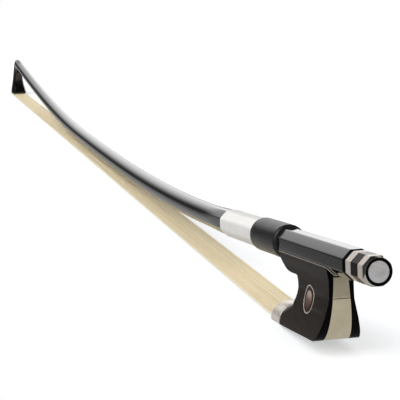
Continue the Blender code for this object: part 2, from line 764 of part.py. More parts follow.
def button(carriage):
    """The screw's button: an ebony core with a silver ring on each end and a pearl eye."""
    bezel, face = BUTTON_BEZEL_DIAMETER / 2, BUTTON_FACE_DIAMETER / 2
    flats, spigot = BUTTON_FLATS / 2, BUTTON_SPIGOT_DIAMETER / 2
    ebony_start, ebony_end = OUTER_RING_LENGTH, OUTER_RING_LENGTH + EBONY_LENGTH
    recess = BUTTON_PEARL_DIAMETER / 2 + FIT
    seat_floor = BUTTON_PEARL_THICKNESS + FIT
    nipple_room = NIPPLE_DIAMETER / 2 + FIT
    nipple_floor = BUTTON_LENGTH - NIPPLE_LENGTH
    screw_seat = SCREW_DIAMETER / 2 + FIT
    core = [
        (seat_floor, recess, False),
        (0.0, recess, False),
        (0.0, bezel - FIT, False),
        (ebony_start + FIT, bezel - FIT, False),
        (ebony_start + FIT, flats, True),
        (ebony_end - FIT, flats, True),
        (ebony_end - FIT, spigot - FIT, False),
        (BUTTON_LENGTH, spigot - FIT, False),
        (BUTTON_LENGTH, nipple_room, False),
        (nipple_floor, nipple_room, False),
        (nipple_floor, screw_seat, False),
        (BUTTON_LENGTH - SCREW_SEAT_DEPTH, screw_seat, False),
    ]
    turned("button_core", carriage, ebony(), core)
    edge = RING_EDGE
    outer = [
        (0.0, bezel, False),
        (0.0, face, False),
        (CHAMFER_LENGTH, flats, True),
        (ebony_start - edge, flats, True),
        (ebony_start, flats - edge, True),
        (ebony_start, bezel, False),
    ]
    turned("button_ring_outer", carriage, silver(), outer, looped=True)
    inner = [
        (ebony_end, spigot, False),
        (ebony_end, flats - edge, True),
        (ebony_end + edge, flats, True),
        (BUTTON_LENGTH - edge, flats, True),
        (BUTTON_LENGTH, flats - edge, True),
        (BUTTON_LENGTH, spigot, False),
    ]
    turned("button_ring_inner", carriage, silver(), inner, looped=True)
    disc = BUTTON_PEARL_DIAMETER / 2
    eye = [
        (BUTTON_PEARL_THICKNESS, disc, False),
        (BUTTON_PEARL_CROWN, disc, False),
        (BUTTON_PEARL_CROWN * 0.4, disc * 0.75, False),
        (0.0, disc * 0.35, False),
    ]
    turned("button_pearl", carriage, pearl(), eye)


def threaded_rod(name, parent, start, length, root, crest, pitch, sides=12):
    """A right-handed thread: rows of points that climb one pitch a turn, root and crest by turns."""
    shape = bmesh.new()
    rows = 2 * round(length / pitch)
    grid = []
    for row in range(rows + 1):
        radius = crest if row % 2 else root
        points = []
        for step in range(sides):
            angle = 2 * math.pi * step / sides
            x = start + pitch * (row / 2 + step / sides)
            points.append(shape.verts.new((x, radius * math.cos(angle), radius * math.sin(angle))))
        grid.append(points)

    def at(row, step):
        return grid[row][step] if step < sides else grid[row + 2][0]

    for row in range(rows):
        for step in range(sides if row + 3 <= rows else sides - 1):
            near, far = (at(row, step), at(row, step + 1)), (at(row + 1, step + 1), at(row + 1, step))
            shape.faces.new((*near, *far))
    first = [*grid[0], grid[2][0], grid[1][0]]
    last = [*grid[rows], grid[rows - 1][-1], grid[rows - 2][-1]]
    for loop, x in ((first, start + pitch), (last, start + pitch * rows / 2)):
        apex = shape.verts.new((x, 0, 0))
        for step, point in enumerate(loop):
            shape.faces.new((point, loop[(step + 1) % len(loop)], apex))
    return finish(shape, name, parent, None)


def screw(carriage):
    """The steel screw: a plain shank through the button and handle, threaded at the eyelet."""
    radius, root = SCREW_DIAMETER / 2, SCREW_ROOT_DIAMETER / 2
    start = BUTTON_LENGTH - SCREW_SEAT_DEPTH + FIT
    relief = SCREW_THREAD_START + 2 * SCREW_PITCH
    relief_end = relief + SCREW_THREAD_LENGTH - 3 * SCREW_PITCH
    profile = [
        (start, radius, False),
        (SCREW_THREAD_START, radius, False),
        (relief, root - FIT, False),
        (relief_end, root - FIT, False),
        (relief_end + 2 * SCREW_PITCH, radius - FIT, False),
        (SCREW_LENGTH - SCREW_PITCH, radius - FIT, False),
        (SCREW_LENGTH, root, False),
    ]
    shaft = turned("screw_shaft", carriage, steel(), profile, sides=SMALL_SIDES)
    thread = threaded_rod(
        "thread_guide", carriage, SCREW_THREAD_START, SCREW_THREAD_LENGTH, root, radius, SCREW_PITCH
    )
    boolean(shaft, thread, "UNION")


def eyelet(carriage):
    """The brass nut that the screw draws, with a shank screwed into the frog."""
    half_length, half_width = EYELET_LENGTH / 2, EYELET_WIDTH / 2
    piece = block(
        "eyelet",
        carriage,
        brass(),
        (EYELET_AT - half_length, -half_width, EYELET_FLOOR),
        (EYELET_AT + half_length, half_width, EYELET_TOP),
    )
    foot = -TROUGH - EYELET_SHANK_LENGTH
    ends = ((EYELET_AT, 0, foot), (EYELET_AT, 0, EYELET_FLOOR + MM))
    shank = cylinder("eyelet_shank_guide", carriage, None, EYELET_SHANK_DIAMETER / 2, *ends)
    boolean(piece, shank, "UNION")
    reach = EYELET_LENGTH
    radius = SCREW_DIAMETER / 2 + 2 * FIT
    ends = ((EYELET_AT - reach, 0, 0), (EYELET_AT + reach, 0, 0))
    cut(piece, cylinder("eyelet_bore_cutter", carriage, None, radius, *ends, BORE_SIDES))


def eyelet_holes(carriage):
    """Where the eyelet's shank passes the liner and enters the frog."""
    foot = -TROUGH - EYELET_SHANK_LENGTH - FIT
    radius = EYELET_SHANK_DIAMETER / 2 + FIT
    return cylinder("shank_cutter", carriage, None, radius, (EYELET_AT, 0, foot), (EYELET_AT, 0, 0))


def pin(name, carriage, start, end, paint):
    """A small pin and the cutter for its hole, between two points of the handle's frame."""
    start, end = Vector(start), Vector(end)
    along = (end - start).normalized()
    cylinder(name, carriage, paint, PIN_DIAMETER / 2, start, end, PIN_SIDES)
    ends = (start - along * MM, end + along * FIT)
    return cylinder(f"{name}_cutter", carriage, None, PIN_DIAMETER / 2 + PIN_FIT, *ends, PIN_SIDES)


def liner(carriage):
    """The silver underslide that lines the trough, with its two pins."""
    inner, outer = STICK_FLATS / 2 + SLIDE_FIT, LINER_OUTSIDE
    top_inner = inner * math.sqrt(2) - STICK_FLATS / 2
    top_outer = outer * math.sqrt(2) - STICK_FLATS / 2
    edge = STICK_FLATS / 2
    right = [
        (inner * math.tan(EIGHTH_TURN), -inner),
        (edge, -top_inner),
        (edge, -top_outer),
        (outer * math.tan(EIGHTH_TURN), -outer),
    ]
    left = [(-y, z) for y, z in right]
    outline = [right[0], right[1], right[2], right[3], left[3], left[2], left[1], left[0]]
    front = FROG_FRONT + LINER_OVERHANG
    piece = extruded("underslide", carriage, silver(), outline, "X", FROG_REAR, front)
    pins = []
    top = -inner - FIT / 2
    places = (FROG_REAR + LINER_PIN_REAR_INSET, FROG_FRONT - LINER_PIN_FRONT_INSET)
    for name, x in zip(("liner_pin_rear", "liner_pin_front"), places):
        pins.append(pin(name, carriage, (x, 0, top), (x, 0, top - PIN_LENGTH), steel()))
    cut(piece, *pins)
    return piece, pins


def heel_plates(carriage):
    """The two silver plates let into the heel, their pins, and the cutters that seat them."""
    far = FROG_DEPTH + MM
    room = heel_band("heel_room_band", carriage, -MM, PLATE_WALL + FIT, PLATE_FOOT_END + FIT)
    outline = plate_outline(PLATE_TOP_DEPTH / 2, far, FIT)
    window = extruded("heel_room_window", carriage, None, outline, "X", 0, LEATHER_START)
    boolean(room, window, "INTERSECT")
    pins = []
    spans = (
        ("heel_plate_upper", PLATE_TOP_DEPTH, PLATE_SEAM_DEPTH - FIT / 2, UPPER_PLATE_PIN_DEPTHS),
        ("heel_plate_lower", PLATE_SEAM_DEPTH + FIT / 2, far, LOWER_PLATE_PIN_DEPTHS),
    )
    for name, top, bottom, pin_depths in spans:
        piece = heel_band(name, carriage, 0.0, PLATE_WALL, PLATE_FOOT_END, silver())
        outline = plate_outline(top, bottom, 0.0)
        shape = extruded(f"{name}_window", carriage, None, outline, "X", 0, LEATHER_START)
        boolean(piece, shape, "INTERSECT")
        for number, depth in enumerate(pin_depths, 1):
            head, foot = heel_point(depth, PIN_FLUSH), heel_point(depth, PIN_LENGTH)
            ends = ((head[0], 0, head[1]), (foot[0], 0, foot[1]))
            cutter = pin(f"{name}_pin_{number}", carriage, *ends, silver())
            cut(piece, cutter)
            pins.append(cutter)
    return [room, *pins]


def arch_room(x, grown):
    """A ring round all that lies outside the ferrule's arch, for a cut behind the ferrule."""
    corner = FERRULE_CORNER
    over = FROG_BASE_WIDTH
    base = -FROG_DEPTH
    half = FROG_BASE_WIDTH / 2 - SEAM_INSET + grown
    rise = FERRULE_HEIGHT - corner - SEAM_INSET + grown
    inner = [(half, base - MM), *arch(half, rise, base + corner), (-half, base - MM)]
    outer = [(-over, base - MM), (-over, base + over), (over, base + over), (over, base - MM)]
    return [Vector((x, y, z)) for y, z in [*inner, *outer]]


def beak_cutter(carriage):
    """Rounds the frog's beak, so that it runs into the ferrule's arch."""
    rings = [
        arch_room(FERRULE_START - BEAK_LENGTH, BEAK_SPREAD),
        arch_room(FERRULE_START - BEAK_LENGTH / 8, 0.0),
        arch_room(FERRULE_START + BEAK_LENGTH, 0.0),
    ]
    return finish(skin(rings, False), "beak_cutter", carriage, None, smooth=False)


def ferrule(carriage):
    """The silver ferrule: a D-shaped band with a flat sole, and the wedge that spreads the hair."""
    half, wall = FROG_BASE_WIDTH / 2, FERRULE_WALL
    sole = -FROG_DEPTH
    corner = FERRULE_CORNER
    outer = [(half - corner, sole), (half - corner * 0.3, sole + corner * 0.3)]
    outer += arch(half, FERRULE_HEIGHT - corner, sole + corner)
    outer += [(-half + corner * 0.3, sole + corner * 0.3), (-half + corner, sole)]
    piece = extruded("ferrule", carriage, silver(), outer, "X", FERRULE_START, FERRULE_FRONT)
    floor = sole + wall
    inside = [(half - corner - wall / 2, floor)]
    inside += arch(half - wall, FERRULE_HEIGHT - corner - wall, sole + corner)
    inside += [(-half + corner + wall / 2, floor)]
    ends = (FERRULE_START - MM, FERRULE_FRONT + MM)
    mouth = extruded("ferrule_cutter", carriage, None, inside, "X", *ends)
    cut(piece, mouth)


def tongue_outline():
    """The end view of the tongue that fills the top of the ferrule."""
    inset = FERRULE_WALL + FIT
    corner = FERRULE_CORNER
    base = -FROG_DEPTH
    floor = -TONGUE_DEPTH - TONGUE_THICKNESS
    height = FERRULE_HEIGHT - corner - inset
    points = arch(FROG_BASE_WIDTH / 2 - inset, height, base + corner)
    kept = [(y, z) for y, z in points if z > floor]
    width = (FROG_BASE_WIDTH / 2 - inset) * math.sqrt(1 - ((floor - base - corner) / height) ** 2)
    return [(width, floor), *kept, (-width, floor)]


def slide(carriage):
    """The pearl slide that closes the frog's base, on its dovetailed backing."""
    start, end = PLATE_FOOT_END + FIT * 2, FERRULE_START - FIT
    half = SLIDE_WIDTH / 2
    base = -FROG_DEPTH
    top = base + SLIDE_PEARL_WALL
    block("slide_pearl", carriage, abalone(), (start, -half, base), (end, half, top))
    low = top + FIT / 2
    high = low + SLIDE_BACKING_WALL
    wide = half + SLIDE_DOVETAIL
    outline = [(half, low), (wide, high), (-wide, high), (-half, low)]
    extruded("slide_backing", carriage, ebony(), outline, "X", start, end)
    room_low = base - MM
    room = [
        (half + FIT, room_low),
        (half + FIT, low),
        (wide + FIT, high + FIT),
        (-wide - FIT, high + FIT),
        (-half - FIT, low),
        (-half - FIT, room_low),
    ]
    return extruded("slide_cutter", carriage, None, room, "X", PLATE_FOOT_END - FIT, FERRULE_START + MM)


def hair_fittings(carriage):
    """The knot and plug in the frog's mortise, the spreading wedge, and the cutters for the hair."""
    start, end = MORTISE_START, MORTISE_START + MORTISE_LENGTH
    half = MORTISE_WIDTH / 2
    floor = -SLIDE_TOP_DEPTH + FIT
    roof = floor + MORTISE_HEIGHT
    below = -FROG_DEPTH - MM
    mortise = block("mortise_cutter", carriage, None, (start, -half, below), (end, half, roof))
    channel_roof = -TONGUE_DEPTH - TONGUE_THICKNESS
    channel = block(
        "hair_channel_cutter",
        carriage,
        None,
        (end - MM, -half, -SLIDE_TOP_DEPTH - MM),
        (FERRULE_START + MM, half, channel_roof),
    )
    inner = half - FIT
    knot_end = start + FIT + KNOT_LENGTH
    knot_low = (start + FIT, -inner, roof - FIT - KNOT_HEIGHT)
    block("frog_knot", carriage, thread_binding(), knot_low, (knot_end, inner, roof - FIT))
    shelf = roof - 2 * FIT - KNOT_HEIGHT
    plug = [
        (start + FIT, floor),
        (knot_end + PLUG_REACH, floor),
        (knot_end + PLUG_REACH - PLUG_LEAN, shelf),
        (start + FIT, shelf),
    ]
    extruded("frog_plug", carriage, maple(), plug, "Y", -inner, inner)
    wedge_half = FROG_BASE_WIDTH / 2 - FERRULE_WALL - WEDGE_SIDE_ROOM
    wedge_start, wedge_end = FERRULE_START + WEDGE_INSET, FERRULE_FRONT - WEDGE_FRONT_INSET
    hair_top = -FROG_DEPTH + FERRULE_WALL + HAIR_THICKNESS + 2 * FIT
    wedge = [
        (wedge_start, channel_roof - FIT),
        (wedge_start, hair_top + FIT),
        (wedge_end, hair_top + FIT),
        (wedge_end, channel_roof - FIT),
    ]
    extruded("spread_wedge", carriage, maple(), wedge, "Y", -wedge_half, wedge_half)
    return [mortise, channel]


def eye(carriage, side, mark):
    """A silver ring and a pearl dot, let into one side of the frog and flush with it."""
    surface = bpy.data.objects["frog_side_guide"]
    floor = frog_half_width(EYE_DEPTH) - EYE_INLAY_DEPTH

    def disc(name, radius, paint=None, deeper=0.0):
        """A disc across the eye's place, from the inlay's floor out past the frog's side."""
        low, high = side * (floor - deeper), side * FROG_BASE_WIDTH
        ends = ((EYE_AT, low, -EYE_DEPTH), (EYE_AT, high, -EYE_DEPTH))
        return cylinder(f"{name}_{mark}", carriage, paint, radius, *ends, SIDES)

    outer, inner = EYE_DIAMETER / 2, EYE_DIAMETER / 2 - EYE_RING_WIDTH
    dot = EYE_PEARL_DIAMETER / 2
    hollow = disc("eye_ring_hollow", inner, deeper=MM)
    boolean(cut(disc("eye_ring", outer, silver()), hollow), surface, "INTERSECT")
    boolean(disc("eye_pearl", dot, dark_pearl()), surface, "INTERSECT")
    island = disc("eye_island", inner - FIT, deeper=MM)
    groove = cut(disc("eye_groove", outer + FIT, deeper=FIT), island)
    return [groove, disc("eye_pearl_seat", dot + FIT, deeper=FIT)]


def frog(carriage):
    """The ebony frog: its side view and its end view in one solid, with a tongue for the ferrule."""
    wide = FROG_BASE_WIDTH
    body = extruded("frog_body", carriage, ebony(), frog_outline(), "Y", -wide, wide)
    reach = (FROG_REAR - 5 * MM, FROG_FRONT + 5 * MM)
    ends = extruded("frog_side_guide", carriage, None, frog_cross_section(), "X", *reach)
    boolean(body, ends, "INTERSECT")
    cut(body, beak_cutter(carriage))
    tongue = extruded(
        "tongue_guide",
        carriage,
        None,
        tongue_outline(),
        "X",
        FERRULE_START - 2 * MM,
        FERRULE_START + TONGUE_REACH,
    )
    boolean(body, tongue, "UNION")
    return body


def ribbon_path():
    """(x, z, width) along the hair's middle in the bow's frame, from the frog's knot to the tip's.
    It leaves the frog over the ferrule's sole and enters the head under its plate."""
    half = HAIR_THICKNESS / 2
    knot_end = MORTISE_START + FIT + KNOT_LENGTH + RUN_FIT + FIT
    knot_middle = -SLIDE_TOP_DEPTH + MORTISE_HEIGHT - KNOT_HEIGHT / 2
    above_slide = -SLIDE_TOP_DEPTH + FIT + half
    sole = -FROG_DEPTH + FERRULE_WALL + FIT + half
    in_frog = []
    for share in (0.0, 0.3, 0.7, 1.0):
        height = blend(knot_middle, above_slide, ease(share))
        in_frog.append((knot_end + HAIR_FALL_LENGTH * share, height, HAIR_WIDTH_MORTISE))
    in_frog += [
        (FERRULE_START + 2 * FIT, above_slide, HAIR_WIDTH_MORTISE),
        (FERRULE_START + WEDGE_INSET - FIT, sole, HAIR_WIDTH_MORTISE + HAIR_SPREAD_IN_FERRULE),
        (FERRULE_FRONT, sole, HAIR_WIDTH_FERRULE),
    ]
    path = [(*in_bow(x, z), width) for x, z, width in in_frog]
    edge = NOSE_X - TIP_MORTISE_BACK
    inside = edge + 2 * FIT
    knot_height = HEAD_UNDERSIDE + TIP_MORTISE_HEIGHT - FIT - KNOT_HEIGHT / 2
    corner = half * math.sqrt(0.5)
    path += [
        (NOSE_X - HEAD_PLATE_LENGTH - KNOT_LENGTH, half, HAIR_WIDTH_TIP),
        (edge - 2 * corner, half, HAIR_WIDTH_HEAD + HAIR_SPREAD_UNDER_HEAD),
        (inside + corner, 2 * half - corner, HAIR_WIDTH_HEAD),
        (inside + half, knot_height - HAIR_TURN_DROP, HAIR_WIDTH_HEAD),
        (inside + half + HAIR_TURN_REACH, knot_height - 3 * FIT, HAIR_WIDTH_HEAD),
        (edge + TIP_MORTISE_LENGTH - KNOT_LENGTH - 2 * FIT, knot_height, HAIR_WIDTH_HEAD),
    ]
    return path


def ribbon_ring(place, direction, width):
    """One ring of the ribbon: its strands show as ridges along both faces."""
    count = 2 * HAIR_RIDGES
    normal = Vector((-direction.z, 0, direction.x))
    upper, lower = [], []
    for step in range(count + 1):
        across = blend(-1.0, 1.0, step / count)
        lift = HAIR_THICKNESS / 2 - (HAIR_RIDGE_DEPTH if step % 2 else 0.0)
        lift *= 1 - 0.55 * across**8
        middle = place + Vector((0, across * width / 2, 0))
        upper.append(middle + normal * lift)
        lower.append(middle - normal * lift)
    return [*upper, *reversed(lower)]


def hair():
    """The flat ribbon of hair from one knot to the other."""
    path = [(Vector((x, 0, z)), width) for x, z, width in ribbon_path()]
    steps = [(after[0] - before[0]).normalized() for before, after in zip(path, path[1:])]
    directions = [steps[0], *[(a + b).normalized() for a, b in zip(steps, steps[1:])], steps[-1]]
    rings = [
        ribbon_ring(place, direction, width)
        for (place, width), direction in zip(path, directions)
    ]
    finish(skin(rings, False), "hair_ribbon", None, horsehair())


def main():
    for thing in list(bpy.data.objects):
        bpy.data.objects.remove(thing, do_unlink=True)
    handle = frame("handle_frame", location=(FACE_X, 0, HANDLE_HEIGHT), tilt=HANDLE_TILT)
    screw_axis = frame("screw_axis", handle)
    frog_carriage = frame("frog_carriage", handle)

    tip_fittings(stick(handle))
    grip(handle)
    hair()

    button(screw_axis)
    screw(screw_axis)

    body = frog(frog_carriage)
    lining, liner_cutters = liner(frog_carriage)
    shank = eyelet_holes(frog_carriage)
    eyelet(frog_carriage)
    ferrule(frog_carriage)
    cutters = [shank, *liner_cutters, *heel_plates(frog_carriage), slide(frog_carriage)]
    cutters += hair_fittings(frog_carriage)
    cutters += [*eye(frog_carriage, 1, "left"), *eye(frog_carriage, -1, "right")]
    cut(lining, shank)
    cut(body, *cutters)


main()
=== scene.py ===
"""The looks of a slack viola bow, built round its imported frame.

The bow lies along X with its button at -X and its head at +X, and stands on z = 0. Everything on the
handle is worked out in the handle's own frame, which slopes down towards the head: its origin is the
middle of the button's end face, its X runs along the screw and its Z points from the frog to the stick.
"""

import json
import logging
import math
from dataclasses import dataclass
from enum import Enum

import bmesh
import bpy
import numpy as np
from mathutils import Matrix, Vector

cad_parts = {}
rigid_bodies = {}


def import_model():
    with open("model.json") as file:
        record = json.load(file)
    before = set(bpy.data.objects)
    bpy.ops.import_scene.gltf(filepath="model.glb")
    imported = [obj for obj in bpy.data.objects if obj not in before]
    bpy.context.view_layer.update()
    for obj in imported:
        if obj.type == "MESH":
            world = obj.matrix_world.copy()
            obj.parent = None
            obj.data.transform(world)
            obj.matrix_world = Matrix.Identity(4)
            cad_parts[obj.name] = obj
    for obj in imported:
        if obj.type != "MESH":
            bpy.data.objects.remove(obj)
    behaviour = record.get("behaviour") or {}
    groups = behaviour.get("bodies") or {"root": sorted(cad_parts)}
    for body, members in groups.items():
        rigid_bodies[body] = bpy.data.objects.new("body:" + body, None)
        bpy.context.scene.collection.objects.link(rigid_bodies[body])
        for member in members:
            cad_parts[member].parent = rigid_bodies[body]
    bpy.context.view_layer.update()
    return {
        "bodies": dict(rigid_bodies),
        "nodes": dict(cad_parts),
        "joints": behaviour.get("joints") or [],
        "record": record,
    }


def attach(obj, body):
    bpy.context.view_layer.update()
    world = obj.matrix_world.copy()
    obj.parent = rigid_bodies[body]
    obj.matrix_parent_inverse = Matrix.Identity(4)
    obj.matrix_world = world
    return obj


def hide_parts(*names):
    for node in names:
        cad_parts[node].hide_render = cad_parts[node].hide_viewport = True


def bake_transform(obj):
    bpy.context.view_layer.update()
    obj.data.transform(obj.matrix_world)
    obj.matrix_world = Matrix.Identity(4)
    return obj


MM = 0.001
LOG = logging.getLogger("viola_bow")


class Body(Enum):
    """The three rigid bodies of the bow."""

    STICK = "stick"
    FROG = "frog"
    SCREW = "screw"


class Slot(Enum):
    """The record's material slots."""

    LACQUER = "carbon_lacquer"
    EBONY = "ebony"
    SILVER = "nickel_silver"
    PEARL = "mother_of_pearl"
    BROWN_PEARL = "brown_pearl"
    ABALONE = "abalone"
    LEATHER = "black_leather"
    HAIR = "horsehair"
    MAPLE = "maple"
    BRASS = "brass"
    STEEL = "steel"
    BOUND_HAIR = "bound_hair"


@dataclass(frozen=True)
class Handle:
    """The handle's frame, sloped about Y, and how it lies in the bow's frame."""

    tilt: float = math.radians(6.0)
    face_x: float = -372.5 * MM
    ferrule_front: float = 78.8 * MM
    frog_depth: float = 24.9 * MM

    @property
    def height(self) -> float:
        """Height of the handle's origin over the floor."""
        return self.ferrule_front * math.sin(self.tilt) + self.frog_depth * math.cos(self.tilt)

    def to_bow(self, points: np.ndarray) -> np.ndarray:
        """Turns points by the tilt about Y and moves them to the button's face.

        Args:
            points: array of shape (..., 3) in the handle's frame.

        Returns:
            The same points in the bow's frame.
        """
        cosine, sine = math.cos(self.tilt), math.sin(self.tilt)
        x, y, z = points[..., 0], points[..., 1], points[..., 2]
        along = self.face_x + x * cosine + z * sine
        high = self.height - x * sine + z * cosine
        return np.stack([along, y, high], axis=-1)

    def matrix(self) -> Matrix:
        """The same change as a 4 by 4 matrix."""
        place = Matrix.Translation((self.face_x, 0, self.height))
        return place @ Matrix.Rotation(self.tilt, 4, "Y")


class Nodes:
    """Short calls for building one material's node tree."""

    def __init__(self, name: str) -> None:
        """Starts a material with a Principled shader and Object coordinates.

        Args:
            name: the material's name.
        """
        self.material = bpy.data.materials.new(name)
        self.material.use_nodes = True
        self.tree = self.material.node_tree
        self.shader = self.tree.nodes["Principled BSDF"]
        self.place = self.tree.nodes.new("ShaderNodeTexCoord").outputs["Object"]

    def set(self, **values: float) -> "Nodes":
        """Sets the shader's sockets by name, with _ for a space, and returns itself."""
        for name, value in values.items():
            self.shader.inputs[name.replace("_", " ")].default_value = value
        return self

    def stretch(self, scale: tuple[float, float, float], turn: float = 0.0) -> bpy.types.NodeSocket:
        """Scales the pattern's coordinates after turning them about Y.

        Args:
            scale: pattern repeats per metre along X, Y and Z.
            turn: angle about Y.

        Returns:
            The scaled coordinates.
        """
        turned = self.tree.nodes.new("ShaderNodeMapping")
        turned.inputs["Rotation"].default_value = (0, turn, 0)
        self.tree.links.new(self.place, turned.inputs["Vector"])
        scaled = self.tree.nodes.new("ShaderNodeMapping")
        scaled.inputs["Scale"].default_value = scale
        self.tree.links.new(turned.outputs["Vector"], scaled.inputs["Vector"])
        return scaled.outputs["Vector"]

    def noise(
        self, vector: bpy.types.NodeSocket, detail: float = 3.0, distortion: float = 0.0
    ) -> bpy.types.NodeSocket:
        """Noise of scale 1 on the coordinates.

        Args:
            vector: coordinates, already scaled.
            detail: octaves.
            distortion: how far the noise swirls.

        Returns:
            The noise value.
        """
        made = self.tree.nodes.new("ShaderNodeTexNoise")
        made.inputs["Scale"].default_value = 1.0
        made.inputs["Detail"].default_value = detail
        made.inputs["Distortion"].default_value = distortion
        self.tree.links.new(vector, made.inputs["Vector"])
        return made.outputs["Fac"]

    def cells(self, vector: bpy.types.NodeSocket) -> bpy.types.NodeSocket:
        """Distance to the nearest cell point on the coordinates."""
        made = self.tree.nodes.new("ShaderNodeTexVoronoi")
        made.inputs["Scale"].default_value = 1.0
        self.tree.links.new(vector, made.inputs["Vector"])
        return made.outputs["Distance"]

    def ramp(
        self, value: bpy.types.NodeSocket, stops: list[tuple[float, tuple[float, ...]]]
    ) -> bpy.types.NodeSocket:
        """Maps a value to colours.

        Args:
            value: 0 to 1.
            stops: (place, colour) pairs in order.

        Returns:
            The colour.
        """
        made = self.tree.nodes.new("ShaderNodeValToRGB")
        bar = made.color_ramp.elements
        while len(bar) < len(stops):
            bar.new(0.5)
        for element, (place, colour) in zip(bar, stops):
            element.position = place
            element.color = (*colour, 1.0)
        self.tree.links.new(value, made.inputs["Fac"])
        return made.outputs["Color"]

    def spread(self, value: bpy.types.NodeSocket, low: float, high: float) -> bpy.types.NodeSocket:
        """Maps a value of 0 to 1 onto low to high."""
        made = self.tree.nodes.new("ShaderNodeMapRange")
        made.inputs["To Min"].default_value = low
        made.inputs["To Max"].default_value = high
        self.tree.links.new(value, made.inputs["Value"])
        return made.outputs["Result"]

    def wire(self, value: bpy.types.NodeSocket, socket: str) -> "Nodes":
        """Links a value to one of the shader's sockets and returns itself."""
        self.tree.links.new(value, self.shader.inputs[socket])
        return self

    def bump(self, height: bpy.types.NodeSocket, depth: float) -> "Nodes":
        """Raises the surface by a height of 0 to 1 times depth in metres, and returns itself."""
        made = self.tree.nodes.new("ShaderNodeBump")
        made.inputs["Strength"].default_value = 1.0
        made.inputs["Distance"].default_value = depth
        self.tree.links.new(height, made.inputs["Height"])
        self.tree.links.new(made.outputs["Normal"], self.shader.inputs["Normal"])
        return self


@dataclass(frozen=True)
class Lacquer:
    """Polished black lacquer over carbon fibre, with the faintest ripple."""

    colour: tuple[float, float, float] = (0.0022, 0.0022, 0.0026)
    roughness: float = 0.11
    coat: float = 0.5

    def make(self) -> bpy.types.Material:
        """Builds the material: a ripple twenty times longer than it is wide, and a breath of haze."""
        nodes = Nodes("black_lacquer")
        ripple = nodes.noise(nodes.stretch((60, 900, 900)), 2.0)
        haze = nodes.noise(nodes.stretch((180, 300, 300)), 4.0)
        shades = [(0.35, self.colour), (0.75, tuple(2.2 * part for part in self.colour))]
        nodes.wire(nodes.ramp(haze, shades), "Base Color")
        nodes.wire(nodes.spread(haze, self.roughness * 0.75, self.roughness * 1.35), "Roughness")
        nodes.set(Coat_Weight=self.coat, Coat_Roughness=0.06)
        return nodes.bump(ripple, 0.002 * MM).material


@dataclass(frozen=True)
class Ebony:
    """Oiled ebony: brown-black, with fine streaks and pores along the handle."""

    name: str = "ebony_wood"
    dark: tuple[float, float, float] = (0.0100, 0.0064, 0.0042)
    light: tuple[float, float, float] = (0.0250, 0.0168, 0.0118)
    sheen: float = 0.17
    gloss: tuple[float, float] = (0.30, 0.44)
    tint: tuple[float, float, float] = (1.0, 0.92, 0.85)
    tilt: float = Handle().tilt

    def make(self) -> bpy.types.Material:
        """Builds the material: stretched noise makes streaks, finer noise makes pores."""
        nodes = Nodes(self.name)
        streaks = nodes.noise(nodes.stretch((90, 1500, 1500), self.tilt), 5.0, 0.6)
        pores = nodes.noise(nodes.stretch((500, 6000, 6000), self.tilt), 3.0)
        nodes.wire(nodes.ramp(streaks, [(0.36, self.dark), (0.74, self.light)]), "Base Color")
        nodes.wire(nodes.spread(pores, *self.gloss), "Roughness")
        nodes.set(Specular_IOR_Level=self.sheen, Specular_Tint=(*self.tint, 1.0))
        return nodes.bump(pores, 0.010 * MM).material


@dataclass(frozen=True)
class Metal:
    """A polished metal with fine scratches and a breath of tarnish."""

    name: str
    bright: tuple[float, float, float]
    dull: tuple[float, float, float]
    roughness: float = 0.2
    scratches: tuple[float, float, float] = (250, 4000, 4000)
    metallic: float = 1.0

    def make(self) -> bpy.types.Material:
        """Builds the material: slow noise tints it, stretched noise scratches it."""
        nodes = Nodes(self.name)
        cloud = nodes.noise(nodes.stretch((160, 160, 160)), 4.0, 0.4)
        lines = nodes.noise(nodes.stretch(self.scratches), 2.0)
        nodes.wire(nodes.ramp(cloud, [(0.3, self.dull), (0.65, self.bright)]), "Base Color")
        nodes.wire(nodes.spread(lines, self.roughness * 0.7, self.roughness * 1.4), "Roughness")
        nodes.set(Metallic=self.metallic)
        return nodes.bump(lines, 0.0015 * MM).material


@dataclass(frozen=True)
class Shell:
    """Polished shell: soft cloudy bands of a few related colours under a gloss."""

    name: str
    stops: tuple[tuple[float, tuple[float, float, float]], ...]
    scale: float = 420.0
    gloss: float = 0.6

    def make(self) -> bpy.types.Material:
        """Builds the material: swirled noise picks the colour, a clear coat gives the depth."""
        nodes = Nodes(self.name)
        bands = nodes.noise(nodes.stretch((self.scale, self.scale, self.scale * 1.8)), 3.0, 1.6)
        nodes.wire(nodes.ramp(bands, list(self.stops)), "Base Color")
        nodes.set(Roughness=0.24, Coat_Weight=self.gloss, Coat_Roughness=0.08)
        return nodes.bump(bands, 0.004 * MM).material


@dataclass(frozen=True)
class Leather:
    """Smooth black leather with a fine pebbled grain."""

    def make(self) -> bpy.types.Material:
        """Builds the material: cells make the pebbles, slow noise wears the sheen."""
        nodes = Nodes("grip_leather")
        pebbles = nodes.cells(nodes.stretch((2300, 2300, 2300)))
        wear = nodes.noise(nodes.stretch((240, 240, 240)), 5.0)
        shades = [(0.3, (0.0085, 0.0080, 0.0078)), (0.7, (0.026, 0.024, 0.023))]
        nodes.wire(nodes.ramp(wear, shades), "Base Color")
        nodes.wire(nodes.spread(wear, 0.24, 0.38), "Roughness")
        return nodes.bump(pebbles, 0.035 * MM).material


